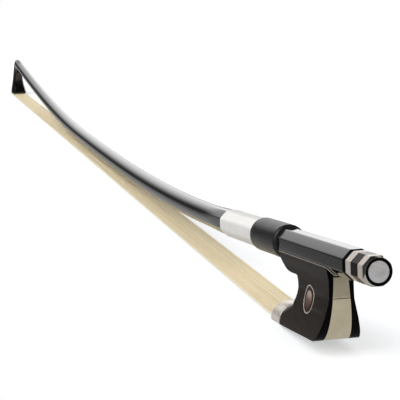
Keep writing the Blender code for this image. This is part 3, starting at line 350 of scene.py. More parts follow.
@dataclass(frozen=True)
class Horsehair:
    """Pale straw hair: each strand has its own shade."""

    shade_attribute: str = "strand_shade"

    def make(self) -> bpy.types.Material:
        """Builds the material: the strand's own number picks its shade, noise varies its gloss."""
        nodes = Nodes("pale_horsehair")
        own = nodes.tree.nodes.new("ShaderNodeAttribute")
        own.attribute_name = self.shade_attribute
        straw = [(0.0, (0.84, 0.65, 0.38)), (0.45, (1.0, 0.86, 0.57)), (1.0, (1.0, 0.94, 0.74))]
        nodes.wire(nodes.ramp(own.outputs["Fac"], straw), "Base Color")
        scales = nodes.noise(nodes.stretch((2500, 400, 400)), 2.0)
        nodes.wire(nodes.spread(scales, 0.4, 0.58), "Roughness")
        nodes.set(Specular_IOR_Level=0.4)
        return nodes.material


@dataclass(frozen=True)
class EyeShell:
    """The eyes' brown shell: a painted highlight high up that fades into painted shade downwards, and the shell's own
    dark brown at the rim.
    """

    tone_and_painted_light_attribute: str = "shell_tone_and_painted_light"
    # The shell's own dark brown at the rim, then painted shade low on the dot, up to a painted highlight at its top.
    stops: tuple[tuple[float, tuple[float, float, float]], ...] = (
        (0.04, (0.042, 0.018, 0.012)),
        (0.34, (0.062, 0.036, 0.029)),
        (0.62, (0.155, 0.094, 0.076)),
        (0.86, (0.40, 0.32, 0.27)),
        (1.0, (0.52, 0.43, 0.38)),
    )

    def make(self) -> bpy.types.Material:
        """Builds the material: the stored tone, with its painted highlight and painted shade, picks the colour,
        swirled noise clouds it.
        """
        nodes = Nodes("brown_shell_painted_highlight")
        tone = nodes.tree.nodes.new("ShaderNodeAttribute")
        tone.attribute_name = self.tone_and_painted_light_attribute
        clouds = nodes.spread(nodes.noise(nodes.stretch((520, 520, 900)), 3.0, 1.6), 0.72, 1.28)
        mixed = nodes.tree.nodes.new("ShaderNodeMath")
        mixed.operation = "MULTIPLY"
        nodes.tree.links.new(tone.outputs["Fac"], mixed.inputs[0])
        nodes.tree.links.new(clouds, mixed.inputs[1])
        nodes.wire(nodes.ramp(mixed.outputs[0], list(self.stops)), "Base Color")
        return nodes.set(Roughness=0.34, Specular_IOR_Level=0.12).material


@dataclass(frozen=True)
class Plain:
    """A hidden piece's simple grain: wood or bound hair."""

    name: str
    dark: tuple[float, float, float]
    light: tuple[float, float, float]
    scale: tuple[float, float, float]

    def make(self) -> bpy.types.Material:
        """Builds the material from stretched noise."""
        nodes = Nodes(self.name)
        grain = nodes.noise(nodes.stretch(self.scale), 4.0, 0.3)
        nodes.wire(nodes.ramp(grain, [(0.35, self.dark), (0.7, self.light)]), "Base Color")
        nodes.wire(nodes.spread(grain, 0.45, 0.7), "Roughness")
        return nodes.bump(grain, 0.01 * MM).material


FINISHES: dict[Slot, object] = {
    Slot.LACQUER: Lacquer(),
    Slot.EBONY: Ebony(),
    Slot.SILVER: Metal("nickel_silver", (0.86, 0.82, 0.74), (0.74, 0.69, 0.60)),
    Slot.PEARL: Shell(
        "grey_pearl",
        ((0.3, (0.44, 0.41, 0.38)), (0.5, (0.56, 0.55, 0.54)), (0.72, (0.57, 0.59, 0.67))),
        170.0,
        0.3,
    ),
    Slot.BROWN_PEARL: EyeShell(),
    Slot.ABALONE: Shell(
        "abalone_shell",
        ((0.3, (0.10, 0.22, 0.24)), (0.5, (0.34, 0.42, 0.36)), (0.7, (0.42, 0.30, 0.36))),
    ),
    Slot.LEATHER: Leather(),
    Slot.HAIR: Horsehair(),
    Slot.MAPLE: Plain("maple_wood", (0.42, 0.27, 0.14), (0.66, 0.48, 0.29), (150, 1500, 1500)),
    Slot.BRASS: Metal("turned_brass", (0.80, 0.60, 0.27), (0.62, 0.43, 0.17), 0.28),
    Slot.STEEL: Metal("turned_steel", (0.60, 0.60, 0.61), (0.45, 0.45, 0.46), 0.3),
    Slot.BOUND_HAIR: Plain("bound_hair", (0.30, 0.17, 0.08), (0.60, 0.42, 0.24), (300, 4000, 4000)),
}
RING_SILVER = Metal("satin_silver", (0.92, 0.84, 0.77), (0.82, 0.74, 0.67), 0.38, (4000, 300, 300), 0.6)
TURNED_SILVER = Metal("turned_silver", (0.78, 0.77, 0.73), (0.66, 0.65, 0.61), 0.13, (4000, 300, 300))
PLATE_SILVER = Metal("heel_silver", (0.86, 0.77, 0.57), (0.76, 0.67, 0.47), 0.2, (4000, 4000, 300))
FERRULE_SILVER = Metal("ferrule_silver", (0.95, 0.88, 0.78), (0.80, 0.74, 0.64), 0.25, (4000, 300, 300), 0.55)
LINER_SILVER = Metal("liner_silver", (0.88, 0.80, 0.70), (0.78, 0.69, 0.58), 0.22)
WIRE_SILVER = Metal("wire_silver", (1.0, 0.985, 0.955), (0.96, 0.94, 0.91), 0.34, (300, 300, 300), 0.2)
# Painted shade: a near-black, barely glossy copy of the ebony for faces turned back towards the camera, where ebony
# sees only dark: the button's face rim, the stick's end and the frog's rear faces.
PAINTED_SHADE_EBONY = Ebony("painted_shade_ebony", (0.0010, 0.0010, 0.0010), (0.0026, 0.0024, 0.0022), 0.06)
BUTTON_EBONY = Ebony("polished_ebony", (0.0075, 0.0052, 0.0042), (0.0190, 0.0135, 0.0110), 0.07, (0.08, 0.14))


class Paints:
    """Makes each finish once and hands it out."""

    def __init__(self) -> None:
        """Starts with nothing made."""
        self._made: dict[object, bpy.types.Material] = {}

    def __getitem__(self, wanted: object) -> bpy.types.Material:
        """The material of a slot, or of a finish of its own."""
        finish = FINISHES[wanted] if isinstance(wanted, Slot) else wanted
        if finish not in self._made:
            self._made[finish] = finish.make()
        return self._made[finish]


def grid_faces(rows: int, columns: int, looped_rows: bool, looped_columns: bool) -> np.ndarray:
    """The quads of a grid of points, as index arrays with no loop over points.

    Args:
        rows: number of rows.
        columns: points in each row.
        looped_rows: whether the last row joins the first.
        looped_columns: whether a row's last point joins its first.

    Returns:
        An array of shape (faces, 4).
    """
    i = np.arange(rows if looped_rows else rows - 1)[:, None]
    j = np.arange(columns if looped_columns else columns - 1)[None, :]
    after_i, after_j = (i + 1) % rows, (j + 1) % columns
    corners = [i * columns + j, i * columns + after_j, after_i * columns + after_j, after_i * columns + j]
    return np.stack([np.broadcast_to(c, (i.shape[0], j.shape[1])) for c in corners], -1).reshape(-1, 4)


def mesh_piece(name: str, points: np.ndarray, faces: list[list[int]]) -> bpy.types.Object:
    """An object at the origin whose faces are turned outwards.

    Args:
        name: the piece's name.
        points: vertex places in the bow's frame.
        faces: vertex numbers of each face.

    Returns:
        The object.
    """
    mesh = bpy.data.meshes.new(name)
    mesh.from_pydata(points.reshape(-1, 3).tolist(), [], faces)
    shape = bmesh.new()
    shape.from_mesh(mesh)
    bmesh.ops.recalc_face_normals(shape, faces=shape.faces)
    if shape.calc_volume(signed=True) < 0:
        bmesh.ops.reverse_faces(shape, faces=shape.faces)
    shape.to_mesh(mesh)
    shape.free()
    piece = bpy.data.objects.new(name, mesh)
    bpy.context.scene.collection.objects.link(piece)
    return piece


def loft(name: str, rings: np.ndarray, looped: bool = False) -> bpy.types.Object:
    """A skin over rings of equal count, with its two ends capped unless it is looped.

    Args:
        name: the piece's name.
        rings: array of shape (rings, points, 3).
        looped: whether the last ring joins the first.

    Returns:
        The object.
    """
    rows, columns = rings.shape[:2]
    faces = grid_faces(rows, columns, looped, True).tolist()
    if not looped:
        faces.append(list(range(columns)))
        faces.append(list(range((rows - 1) * columns, rows * columns)))
    return mesh_piece(name, rings, faces)


def smooth(piece: bpy.types.Object, degrees: float = 35.0) -> bpy.types.Object:
    """Shades a piece smooth, with edges sharper than an angle kept."""
    piece.data.shade_smooth()
    piece.data.set_sharp_from_angle(angle=math.radians(degrees))
    return piece


def even_cap(count: int, offset: int) -> list[list[int]]:
    """Closes a ring that is even about the XZ plane with strips across it, so that it may curve.

    Point 0 and the point half round lie on the plane, and point j faces point count - j.

    Args:
        count: points in the ring.
        offset: number of the ring's first point.

    Returns:
        The faces.
    """
    half = count // 2
    step = np.arange(1, half - 1)
    strips = np.stack([step, step + 1, count - step - 1, count - step], axis=-1) + offset
    ends = [[offset, offset + 1, offset + count - 1], [offset + half - 1, offset + half, offset + half + 1]]
    return strips.tolist() + ends


def box_piece(name: str, low: tuple[float, ...], high: tuple[float, ...]) -> bpy.types.Object:
    """A plain box between two corners, used only to cut with."""
    x, y, z = zip(low, high)
    ring = np.array([(x[0], y[0]), (x[1], y[0]), (x[1], y[1]), (x[0], y[1])])
    rings = np.stack([np.column_stack([ring, np.full(4, level)]) for level in z])
    return loft(name, rings)


def carve(piece: bpy.types.Object, *cutters: bpy.types.Object) -> bpy.types.Object:
    """Cuts pieces out of a piece, keeps the result in its mesh, and removes the cutters.

    Args:
        piece: the piece to cut.
        cutters: closed meshes that overlap it.

    Returns:
        The piece.
    """
    for cutter in cutters:
        change = piece.modifiers.new("cut", "BOOLEAN")
        change.operation = "DIFFERENCE"
        change.solver = "EXACT"
        change.object = cutter
    graph = bpy.context.evaluated_depsgraph_get()
    result = bpy.data.meshes.new_from_object(piece.evaluated_get(graph))
    before = piece.data
    piece.modifiers.clear()
    piece.data = result
    bpy.data.meshes.remove(before)
    result.name = piece.name
    for cutter in cutters:
        bpy.data.objects.remove(cutter, do_unlink=True)
    return piece


def face_values(piece: bpy.types.Object, name: str) -> np.ndarray:
    """Each face's middle or normal, as rows of three numbers."""
    values = np.empty(3 * len(piece.data.polygons))
    piece.data.polygons.foreach_get(name, values)
    return values.reshape(-1, 3)


@dataclass
class Dresser:
    """Gives pieces their finish and body, and reports them."""

    frame: dict
    paints: Paints

    def dress(
        self,
        piece: bpy.types.Object,
        slot: Slot,
        body: Body,
        *nodes: str,
        finish: object = None,
    ) -> bpy.types.Object:
        """Finishes a new piece that stands for CAD nodes.

        Args:
            piece: the new piece, in place.
            slot: its material slot.
            body: the body that it moves with.
            nodes: the CAD nodes that it stands for.
            finish: a finish of its own in place of the slot's.

        Returns:
            The piece.
        """
        piece.data.materials.clear()
        piece.data.materials.append(self.paints[finish or slot])
        if nodes:
            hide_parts(*nodes)
        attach(piece, body.value)
        LOG.info("%s rides on %s, %d points", piece.name, body.value, len(piece.data.vertices))
        return piece

    def soften(
        self, node: str, slot: Slot, body: Body, width: float = 0.1 * MM, finish: object = None
    ) -> bpy.types.Object:
        """Copies a rigid CAD node, merges its points, and rounds its edges as a file would.

        Args:
            node: the CAD node.
            slot: its material slot.
            body: its body.
            width: how wide the rounding is.
            finish: a finish of its own in place of the slot's.

        Returns:
            The piece that stands for the node.
        """
        shape = bmesh.new()
        shape.from_mesh(self.frame["nodes"][node].data)
        bmesh.ops.remove_doubles(shape, verts=shape.verts, dist=0.002 * MM)
        flat = math.radians(0.4)
        bmesh.ops.dissolve_limit(shape, angle_limit=flat, verts=shape.verts, edges=shape.edges)
        mesh = bpy.data.meshes.new(f"{node}_finished")
        shape.to_mesh(mesh)
        shape.free()
        piece = bpy.data.objects.new(f"{node}_finished", mesh)
        bpy.context.scene.collection.objects.link(piece)
        smooth(piece)
        if width:
            rounding = piece.modifiers.new("filed_edges", "BEVEL")
            rounding.width = width
            rounding.segments = 2
            rounding.limit_method = "ANGLE"
            rounding.angle_limit = math.radians(35)
            rounding.harden_normals = True
        return self.dress(piece, slot, body, node, finish=finish)

    def refinish(self, piece: bpy.types.Object, finish: object, chosen: np.ndarray) -> None:
        """Gives some of a piece's faces a second finish.

        Args:
            piece: a finished piece.
            finish: the second finish.
            chosen: whether each face gets it.
        """
        piece.data.materials.append(self.paints[finish])
        piece.data.polygons.foreach_set("material_index", chosen.astype(np.int32))

    def near_face(self, piece: bpy.types.Object, handle: Handle, within: float) -> np.ndarray:
        """Which faces of a piece lie within a distance of the button's face, along the handle."""
        middles = face_values(piece, "center")
        along = (middles[:, 0] - handle.face_x) * math.cos(handle.tilt)
        return along - (middles[:, 2] - handle.height) * math.sin(handle.tilt) < within

    def finish_hidden(self) -> None:
        """Gives every CAD node the finish of its record slot, shown or not."""
        slots = {part["node"]: part["material_slot"] for part in self.frame["record"]["subparts"]}
        for name, node in self.frame["nodes"].items():
            node.data.materials.clear()
            node.data.materials.append(self.paints[Slot(slots[name])])


FACET_STEPS = (-21.1, -16.88, -12.66, -8.44, -4.22, 0.0, 4.22, 8.44, 12.66, 16.88, 21.1, 22.5)
FACETS = 8
CORNER_SOFTNESS = 0.09
CORNER_POWER = 12


def octagon_reach(angle: np.ndarray, softness: float = CORNER_SOFTNESS, crown: float = 0.0) -> np.ndarray:
    """How far an octagon with rounded corners reaches, for flats one unit from its middle.

    The plain octagon reaches 1 / cos of the angle from the nearest flat's middle. A softness above 0
    holds the corner back by that share of its height, and only close to it. A crown lowers each flat
    towards its two corners by the square of the way there.

    Args:
        angle: angles round the axis, with a flat at 0.
        softness: 0 for sharp corners.
        crown: 0 for level flats.

    Returns:
        The reach at each angle.
    """
    eighth = math.pi / FACETS
    from_flat = (angle + eighth) % (2 * eighth) - eighth
    plain = 1 / np.cos(from_flat)
    top = 1 / math.cos(eighth)
    share = np.clip((plain - 1) / (top - 1), 0, 1)
    reach = plain - softness * (top - 1) * share**CORNER_POWER
    return reach - crown * (from_flat / eighth) ** 2


def facet_angles() -> np.ndarray:
    """Angles round the axis, twelve to a facet, that crowd at the octagon's corners."""
    middles = np.arange(FACETS)[:, None] * (2 * math.pi / FACETS)
    return (middles + np.radians(FACET_STEPS)[None]).reshape(-1)


def half_turn_angles() -> np.ndarray:
    """The facets' angles from 0 to half a turn, both ends kept."""
    angles = np.sort(np.round(facet_angles(), 9))
    return angles[(angles >= 0) & (angles <= math.pi + 1e-6)]


def ease(share: np.ndarray) -> np.ndarray:
    """0 to 1 with a level start and end."""
    share = np.clip(share, 0.0, 1.0)
    return share * share * (3 - 2 * share)


def turned(name: str, handle: Handle, profile: np.ndarray, looped: bool) -> bpy.types.Object:
    """A piece turned about the screw's axis: each row may be round, eight-sided or between.

    A row's radius at an angle is its flat's distance, times 1 plus its share of eight-sidedness times
    what the octagon reaches past 1.

    Args:
        name: the piece's name.
        handle: the handle's frame.
        profile: rows of (x, radius, share of eight-sidedness).
        looped: whether the last row joins the first, as in a ring.

    Returns:
        The piece.
    """
    angle = facet_angles()
    x, radius, eight = np.asarray(profile, dtype=float).T
    reach = radius[:, None] * (1 + eight[:, None] * (octagon_reach(angle)[None] - 1))
    along = np.broadcast_to(x[:, None], reach.shape)
    rings = np.stack([along, reach * np.sin(angle), reach * np.cos(angle)], axis=-1)
    return smooth(loft(name, handle.to_bow(rings), looped))


def filed(start: float, end: float, reach: float, bore: float, edge: float) -> list[tuple]:
    """Rows of an eight-sided ring with both rims filed round.

    Args:
        start: its first end.
        end: its other end.
        reach: distance of its flats from the axis.
        bore: radius of its hole.
        edge: radius of the filing.

    Returns:
        (x, radius, 1) rows, with the hole's two rims round.
    """
    turn = np.linspace(0, math.pi / 2, 4)
    rise = [(start + edge * (1 - math.cos(t)), reach - edge * (1 - math.sin(t)), 1.0) for t in turn]
    fall = [(end - edge * (1 - math.cos(t)), reach - edge * (1 - math.sin(t)), 1.0) for t in turn[::-1]]
    return [(start, bore, 0.0), *rise, *fall, (end, bore, 0.0)]


@dataclass
class Button:
    """The screw's button: an ebony core, a silver ring on each end and a pearl in its face."""

    handle: Handle
    flats: float = 4.275 * MM
    bezel: float = 3.93 * MM
    face: float = 4.03 * MM
    chamfer: float = 1.4 * MM
    outer_ring: float = 5.25 * MM
    ebony: float = 5.70 * MM
    inner_ring: float = 4.00 * MM
    spigot: float = 3.40 * MM
    pearl: float = 3.09 * MM
    pearl_wall: float = 1.10 * MM
    snug: float = 0.03 * MM
    crown: float = 0.12 * MM
    nipple: float = 2.60 * MM
    nipple_length: float = 1.5 * MM
    screw_seat: float = 1.60 * MM
    seat_depth: float = 11.5 * MM
    edge: float = 0.13 * MM
    fit: float = 0.1 * MM

    def core(self) -> bpy.types.Object:
        """The ebony: its black rim round the pearl, its eight-sided middle, and its bored rear."""
        low, high = self.outer_ring + self.fit, self.outer_ring + self.ebony - self.fit
        length = self.outer_ring + self.ebony + self.inner_ring
        recess = self.pearl + self.snug
        round_off = 0.05 * MM
        rows = [
            (self.pearl_wall + self.fit, recess, 0.0),
            (round_off, recess, 0.0),
            (0.0, recess + round_off, 0.0),
            (0.0, self.bezel - self.snug - round_off, 0.0),
            (round_off, self.bezel - self.snug, 0.0),
            *filed(low, high, self.flats - 0.01 * MM, self.bezel - self.snug, 0.08 * MM)[:-1],
            (high, self.spigot - self.fit, 0.0),
            (length, self.spigot - self.fit, 0.0),
            (length, self.nipple, 0.0),
            (length - self.nipple_length, self.nipple, 0.0),
            (length - self.nipple_length, self.screw_seat, 0.0),
            (length - self.seat_depth, self.screw_seat, 0.0),
        ]
        return turned("button_ebony", self.handle, np.array(rows), False)

    def face_ring(self) -> bpy.types.Object:
        """The outer ring: its end is filed from an octagon down to a circle.

        Along the chamfer the flats' distance and the share of eight-sidedness both grow evenly.
        """
        share = np.array([0.0, 0.03, 0.25, 0.5, 0.75, 0.96, 1.0])
        lip = 0.05 * MM
        x = lip + (self.chamfer - lip) * share
        radius = self.face + (self.flats - self.face) * share
        chamfer = list(zip(x, radius, share))
        rows = [(0.0, self.bezel, 0.0), (0.0, self.face - lip, 0.0), (0.4 * lip, self.face - 0.2 * lip, 0.0)]
        rear = filed(0.0, self.outer_ring, self.flats, self.bezel, self.edge)[5:]
        flat_start = (self.chamfer + 0.06 * MM, self.flats, 1.0)
        return turned("button_face_ring", self.handle, np.array(rows + chamfer + [flat_start] + rear), True)

    def rear_ring(self) -> bpy.types.Object:
        """The inner ring, between the ebony and the stick."""
        start = self.outer_ring + self.ebony
        rows = filed(start, start + self.inner_ring, self.flats, self.spigot, self.edge)
        return turned("button_rear_ring", self.handle, np.array(rows), True)

    def eye(self) -> bpy.types.Object:
        """The pearl: a disc whose face domes by the square of the distance from its rim."""
        radius = self.pearl * np.array([1.0, 1.0, 0.985, 0.93, 0.8, 0.6, 0.4, 0.2, 0.06])
        x = self.crown * (radius / self.pearl) ** 2
        x[0], x[1] = self.pearl_wall, self.crown + 0.05 * MM
        return turned("button_eye", self.handle, np.column_stack([x, radius, 0 * x]), False)

    def dress(self, dresser: Dresser) -> None:
        """Builds and finishes the four pieces."""
        core = dresser.dress(smooth(self.core(), 7), Slot.EBONY, Body.SCREW, "button_core", finish=BUTTON_EBONY)
        # Painted shade: the core's face rim is made near black.
        dresser.refinish(core, PAINTED_SHADE_EBONY, dresser.near_face(core, self.handle, 0.3 * MM))
        outer = smooth(self.face_ring(), 7)
        dresser.dress(outer, Slot.SILVER, Body.SCREW, "button_ring_outer", finish=RING_SILVER)
        dresser.refinish(outer, TURNED_SILVER, dresser.near_face(outer, self.handle, self.chamfer))
        inner = smooth(self.rear_ring(), 7)
        dresser.dress(inner, Slot.SILVER, Body.SCREW, "button_ring_inner", finish=RING_SILVER)
        dresser.dress(self.eye(), Slot.PEARL, Body.SCREW, "button_pearl")


@dataclass
class Grip:
    """The leather grip and the silver winding in front of it."""

    handle: Handle
    inside: float = 4.6 * MM
    start: float = 78.5 * MM
    length: float = 27.5 * MM
    reach: float = 5.85 * MM
    near_roll: float = 1.25 * MM
    far_roll: float = 0.9 * MM
    lap: float = 0.11 * MM
    lap_at: float = math.radians(197)
    lap_width: float = 0.5
    winding_start: float = 106.1 * MM
    winding_end: float = 147.1 * MM
    wall: float = 0.32 * MM
    turn_length: float = 0.30 * MM
    steps: int = 48

    def leather(self) -> bpy.types.Object:
        """A sleeve turned round the handle: octagonal inside, round outside, rolled at its ends.

        The outside radius is the full one, less each end's quarter circle, less the lap's height that
        dies away round the sleeve from the lap's edge, less a slow swell of three waves a turn.

        Returns:
            The sleeve.
        """
        angle = facet_angles()
        inner = self.inside * octagon_reach(angle, 0.0)
        rise = np.linspace(0, math.pi / 2, 9)
        end = self.start + self.length
        low = self.start + self.near_roll * (1 - np.cos(rise))
        low_drop = self.near_roll * (1 - np.sin(rise))
        high = end - self.far_roll * (1 - np.cos(rise[::-1]))
        high_drop = self.far_roll * (1 - np.sin(rise[::-1]))
        body = np.linspace(low[-1], high[0], 22)[1:-1]
        x = np.concatenate([low, body, high])
        drop = np.concatenate([low_drop, np.zeros(len(body)), high_drop])
        past_lap = (angle - self.lap_at) % (2 * math.pi)
        lap = self.lap * (1 - np.exp(-past_lap / self.lap_width))
        swell = 0.025 * MM * (1 + np.sin(3 * angle[None] + 260 * x[:, None] + 0.8))
        outside = self.reach - drop[:, None] - lap[None] - swell
        radius = np.concatenate([inner[None], outside, inner[None]])
        place = np.concatenate([[self.start], x, [end]])
        along = np.broadcast_to(place[:, None], radius.shape)
        rings = np.stack([along, radius * np.sin(angle)[None], radius * np.cos(angle)[None]], axis=-1)
        return smooth(loft("leather_grip", self.handle.to_bow(rings), looped=True), 50)

    def winding(self) -> bpy.types.Object:
        """Flat-rolled wire laid in touching turns round the octagon, as one helix.

        The wire's foot runs at the octagon's reach and climbs one turn's length a turn. Its section is
        a low loaf: its top rises by a cosine to the wall's height.

        Returns:
            The wound wire.
        """
        low = self.winding_start + self.turn_length / 2
        high = self.winding_end - self.turn_length / 2
        turns = int((high - low) / self.turn_length)
        turn = np.linspace(0, turns, turns * self.steps + 1)
        angle = turn * 2 * math.pi
        foot = self.inside * octagon_reach(angle, 0.25) + 0.01 * MM
        x = low + turn * (high - low) / turns
        share = np.array([-0.5, -0.5, -0.3, 0.0, 0.3, 0.5, 0.5])
        rise = np.array([0.0, 0.72, 0.93, 0.97, 0.93, 0.72, 0.0]) * self.wall
        radius = foot[:, None] + rise[None]
        along = x[:, None] + 0.99 * self.turn_length * share[None]
        points = np.stack([along, radius * np.sin(angle)[:, None], radius * np.cos(angle)[:, None]], axis=-1)
        return smooth(loft("silver_wire", self.handle.to_bow(points)), 70)

    def dress(self, dresser: Dresser) -> None:
        """Builds and finishes both."""
        dresser.dress(self.leather(), Slot.LEATHER, Body.STICK, "thumb_leather")
        dresser.dress(self.winding(), Slot.SILVER, Body.STICK, "silver_winding", finish=WIRE_SILVER)


@dataclass
class Stick:
    """The carbon stick with its head, and the two layers under the head.

    A ring is worked out from its point on the underside (throat) to its point on top (ridge): a point
    at angle a from the throat lies -cos(a) of the way between them, and sin(a) times half the width
    to the side, both grown by the octagon's reach on the handle. On the head the width follows the
    head's own profile instead.
    """

    handle: Handle
    nose_x: float = 372.5 * MM
    length: float = 745.0 * MM
    flats: float = 4.5 * MM
    end: float = 15.45 * MM
    end_round: float = 1.6 * MM
    crown: float = 0.006
    nipple: float = 2.5 * MM
    nipple_length: float = 1.5 * MM
    bore: float = 1.75 * MM
    bore_end: float = 115.45 * MM
    straight: float = 150.0 * MM
    rounding: float = 26.0 * MM
    round_start: float = 4.35 * MM
    waist_at: float = 455.0 * MM
    waist_height: float = 6.0 * MM
    waist: float = 3.5 * MM
    join_slope: float = 0.095
    join: float = 2.85 * MM
    join_back: float = 34.0 * MM
    head_height: float = 24.9 * MM
    underside: float = 1.0 * MM
    sole: float = 2.5 * MM
    plate: float = 26.0 * MM
    head_half: float = 5.3 * MM
    lift: float = 1.3 * MM
    lift_back: float = 7.0 * MM
    ring_step: float = 7.0 * MM
    head_steps: int = 6
    slot: tuple[float, float] = (39.0 * MM, 54.5 * MM)
    slot_half: float = 2.5 * MM
    slot_top: float = 2.5 * MM
    mortise: tuple[float, float] = (353.0 * MM, 360.0 * MM)
    mortise_half: float = 2.8 * MM
    mortise_top: float = 7.3 * MM
    layer_fit: float = 0.1 * MM
    liner_wall: float = 0.4 * MM
    plate_wall: float = 0.9 * MM
    head_turns: tuple[tuple[float, int], ...] = (
        (12.0, 6), (47.16, 8), (90.0, 10), (126.87, 10), (170.0, 9), (180.0, 5)
    )

    def head_angles(self) -> np.ndarray:
        """Angles round half the head, crowded where its profile bends."""
        parts, low = [np.zeros(1)], 0.0
        for high, count in self.head_turns:
            parts.append(np.linspace(low, high, count + 1)[1:])
            low = high
        return np.radians(np.concatenate(parts))

    def head_width(self, angle: np.ndarray) -> np.ndarray:
        """How wide the head is round half of it, as a share of its widest.

        Its back is flat up to 12 degrees and its face ridge flat from 170 degrees; between, the share
        runs straight between stops along the way from throat to ridge.
        """
        along = (1 - np.cos(angle)) / 2
        between = np.interp(along, (0.0, 0.16, 0.5, 0.8, 1.0), (0.78, 1.0, 0.86, 0.52, 0.16))
        low, high = math.radians(12), math.radians(170)
        opening = between * np.clip(angle / low, 0, 1)
        return opening * np.clip((math.pi - angle) / (math.pi - high), 0, 1)

    def camber(self, reach: np.ndarray) -> np.ndarray:
        """Height of the stick's middle by its distance from the button's face.

        Two cubic spans with given heights and slopes at their ends meet, level, at the waist.
        """
        start = self.handle.to_bow(np.array([self.straight, 0.0, 0.0]))
        first, height = start[0] - self.handle.face_x, start[2]
        last = self.length - self.join_back
        top = self.underside + self.head_height - 1.5 * self.join
        spans = (
            (first, height, -math.tan(self.handle.tilt), self.waist_at, self.waist_height, 0.0),
            (self.waist_at, self.waist_height, 0.0, last, top, self.join_slope),
        )
        heights = []
        for low, low_z, low_slope, high, high_z, high_slope in spans:
            t = (reach - low) / (high - low)
            bend = low_slope * t * (1 - t) ** 2 - high_slope * t * t * (1 - t)
            heights.append(low_z + (high_z - low_z) * t * t * (3 - 2 * t) + (high - low) * bend)
        return np.where(reach < self.waist_at, heights[0], heights[1])

    def radius(self, reach: np.ndarray) -> np.ndarray:
        """Half the round stick's diameter: it tapers to its waist and on to the head."""
        stops = (self.straight, self.waist_at, self.length - self.join_back)
        return np.interp(reach, stops, (self.round_start, self.waist, self.join))

    def rings(
        self, throat: np.ndarray, ridge: np.ndarray, half: np.ndarray, eight: np.ndarray, head: np.ndarray
    ) -> np.ndarray:
        """Whole rings of points, in the bow's frame.

        Args:
            throat: (x, z) of each ring's underside.
            ridge: (x, z) of each ring's top.
            half: half of each ring's width.
            eight: each ring's share of eight-sidedness.
            head: each ring's share of the head's profile.

        Returns:
            An array of shape (rings, points, 3), even about the XZ plane.
        """
        square, crowded = half_turn_angles(), self.head_angles()
        angle = square[None] * (1 - head[:, None]) + crowded[None] * head[:, None]
        grown = 1 + eight[:, None] * (octagon_reach(angle, crown=self.crown) - 1)
        along = -np.cos(angle) * grown
        across = np.sin(angle) * grown
        across = across * (1 - head[:, None]) + self.head_width(angle) * head[:, None]
        middle, reach = (throat + ridge) / 2, (ridge - throat) / 2
        x = middle[:, :1] + reach[:, :1] * along
        z = middle[:, 1:] + reach[:, 1:] * along
        y = half[:, None] * across
        one_side = np.stack([x, y, z], axis=-1)
        other = one_side[:, -2:0:-1] * np.array([1.0, -1.0, 1.0])
        return np.concatenate([one_side, other], axis=1)

    def bar(self, x: np.ndarray, z: np.ndarray, slope: np.ndarray, half: np.ndarray, eight: np.ndarray) -> np.ndarray:
        """Rings square to the stick at points of its middle line."""
        lean = np.column_stack([-np.sin(slope) * half, np.cos(slope) * half])
        middle = np.column_stack([x, z])
        return self.rings(middle - lean, middle + lean, half, eight, np.zeros(len(x)))

    def handle_rings(self) -> np.ndarray:
        """From the bore's inner end back to the nipple, over the rounded end and along the octagon."""
        turn = np.linspace(0, math.pi / 2, 6)
        rim_x = self.end + self.end_round * (1 - np.cos(turn))
        rim = self.flats - self.end_round * (1 - np.sin(turn))
        mouth = self.end - self.nipple_length
        past = rim_x[-1] + 0.05 * MM
        x = np.concatenate([[self.bore_end, mouth, mouth, self.end], rim_x, [past, 60 * MM, 105 * MM, self.straight]])
        half = np.concatenate([[self.bore, self.bore, self.nipple, self.nipple], rim, [self.flats] * 4])
        eight = np.concatenate([np.zeros(4), np.ones(len(turn) + 4)])
        placed = self.handle.to_bow(np.column_stack([x, 0 * x, 0 * x]))
        slope = np.full(len(x), -self.handle.tilt)
        return self.bar(placed[:, 0], placed[:, 2], slope, half, eight)

    def camber_rings(self) -> np.ndarray:
        """The facets melt away past the winding, and the round stick tapers to the head."""
        first = self.straight * math.cos(self.handle.tilt)
        last = self.length - self.join_back
        melt = np.linspace(first, self.straight + self.rounding, 7)[1:]
        count = int((last - melt[-1]) / self.ring_step)
        reach = np.concatenate([melt, np.linspace(melt[-1], last, count)[1:-1]])
        near = 0.5 * MM
        slope = np.arctan((self.camber(reach + near) - self.camber(reach - near)) / (2 * near))
        share = ease((reach - first) / (melt[-1] - first))
        half = self.flats * (1 - share) + self.radius(reach) * share
        return self.bar(self.handle.face_x + reach, self.camber(reach), slope, half, 1 - share)

    def head_stations(self) -> np.ndarray:
        """Rows down the head: throat back, throat up, ridge back, ridge up, half width, head share.

        Back is measured from the nose and up from the plate's underside.
        """
        top, plate, slim, mm = self.head_height, self.plate, self.join, MM
        foot = self.sole - self.underside
        lean, join_top = self.join_slope * slim, top - slim / 2
        rows = [
            (self.join_back - lean, join_top - 2 * slim, self.join_back + lean, join_top, slim, 0.0),
            (plate + 4.2 * mm, top - 6.7 * mm, plate + 2.0 * mm, top - 0.7 * mm, slim, 0.05),
            (plate + 1.2 * mm, top - 7.0 * mm, plate - 3.6 * mm, top - 0.15 * mm, slim, 0.15),
            (plate - 1.4 * mm, top - 8.2 * mm, plate - 7.6 * mm, top - 0.5 * mm, slim * 1.02, 0.3),
            (plate - 3.2 * mm, top - 10.2 * mm, plate - 10.4 * mm, top - 2.3 * mm, slim * 1.06, 0.5),
            (plate - 4.3 * mm, top - 12.6 * mm, plate - 12.9 * mm, top - 5.4 * mm, slim * 1.12, 0.7),
            (plate - 4.8 * mm, top - 15.0 * mm, plate - 15.5 * mm, top - 9.2 * mm, slim * 1.22, 0.85),
            (plate - 4.5 * mm, top - 17.4 * mm, plate - 18.1 * mm, top - 13.2 * mm, slim * 1.36, 1.0),
            (plate - 3.5 * mm, top - 19.6 * mm, plate - 20.7 * mm, top - 17.0 * mm, slim * 1.53, 1.0),
            (plate - 1.9 * mm, top - 21.4 * mm, plate - 23.2 * mm, top - 20.2 * mm, slim * 1.71, 1.0),
            (plate, foot, self.lift / 4, foot, self.head_half, 1.0),
        ]
        return np.array(rows)

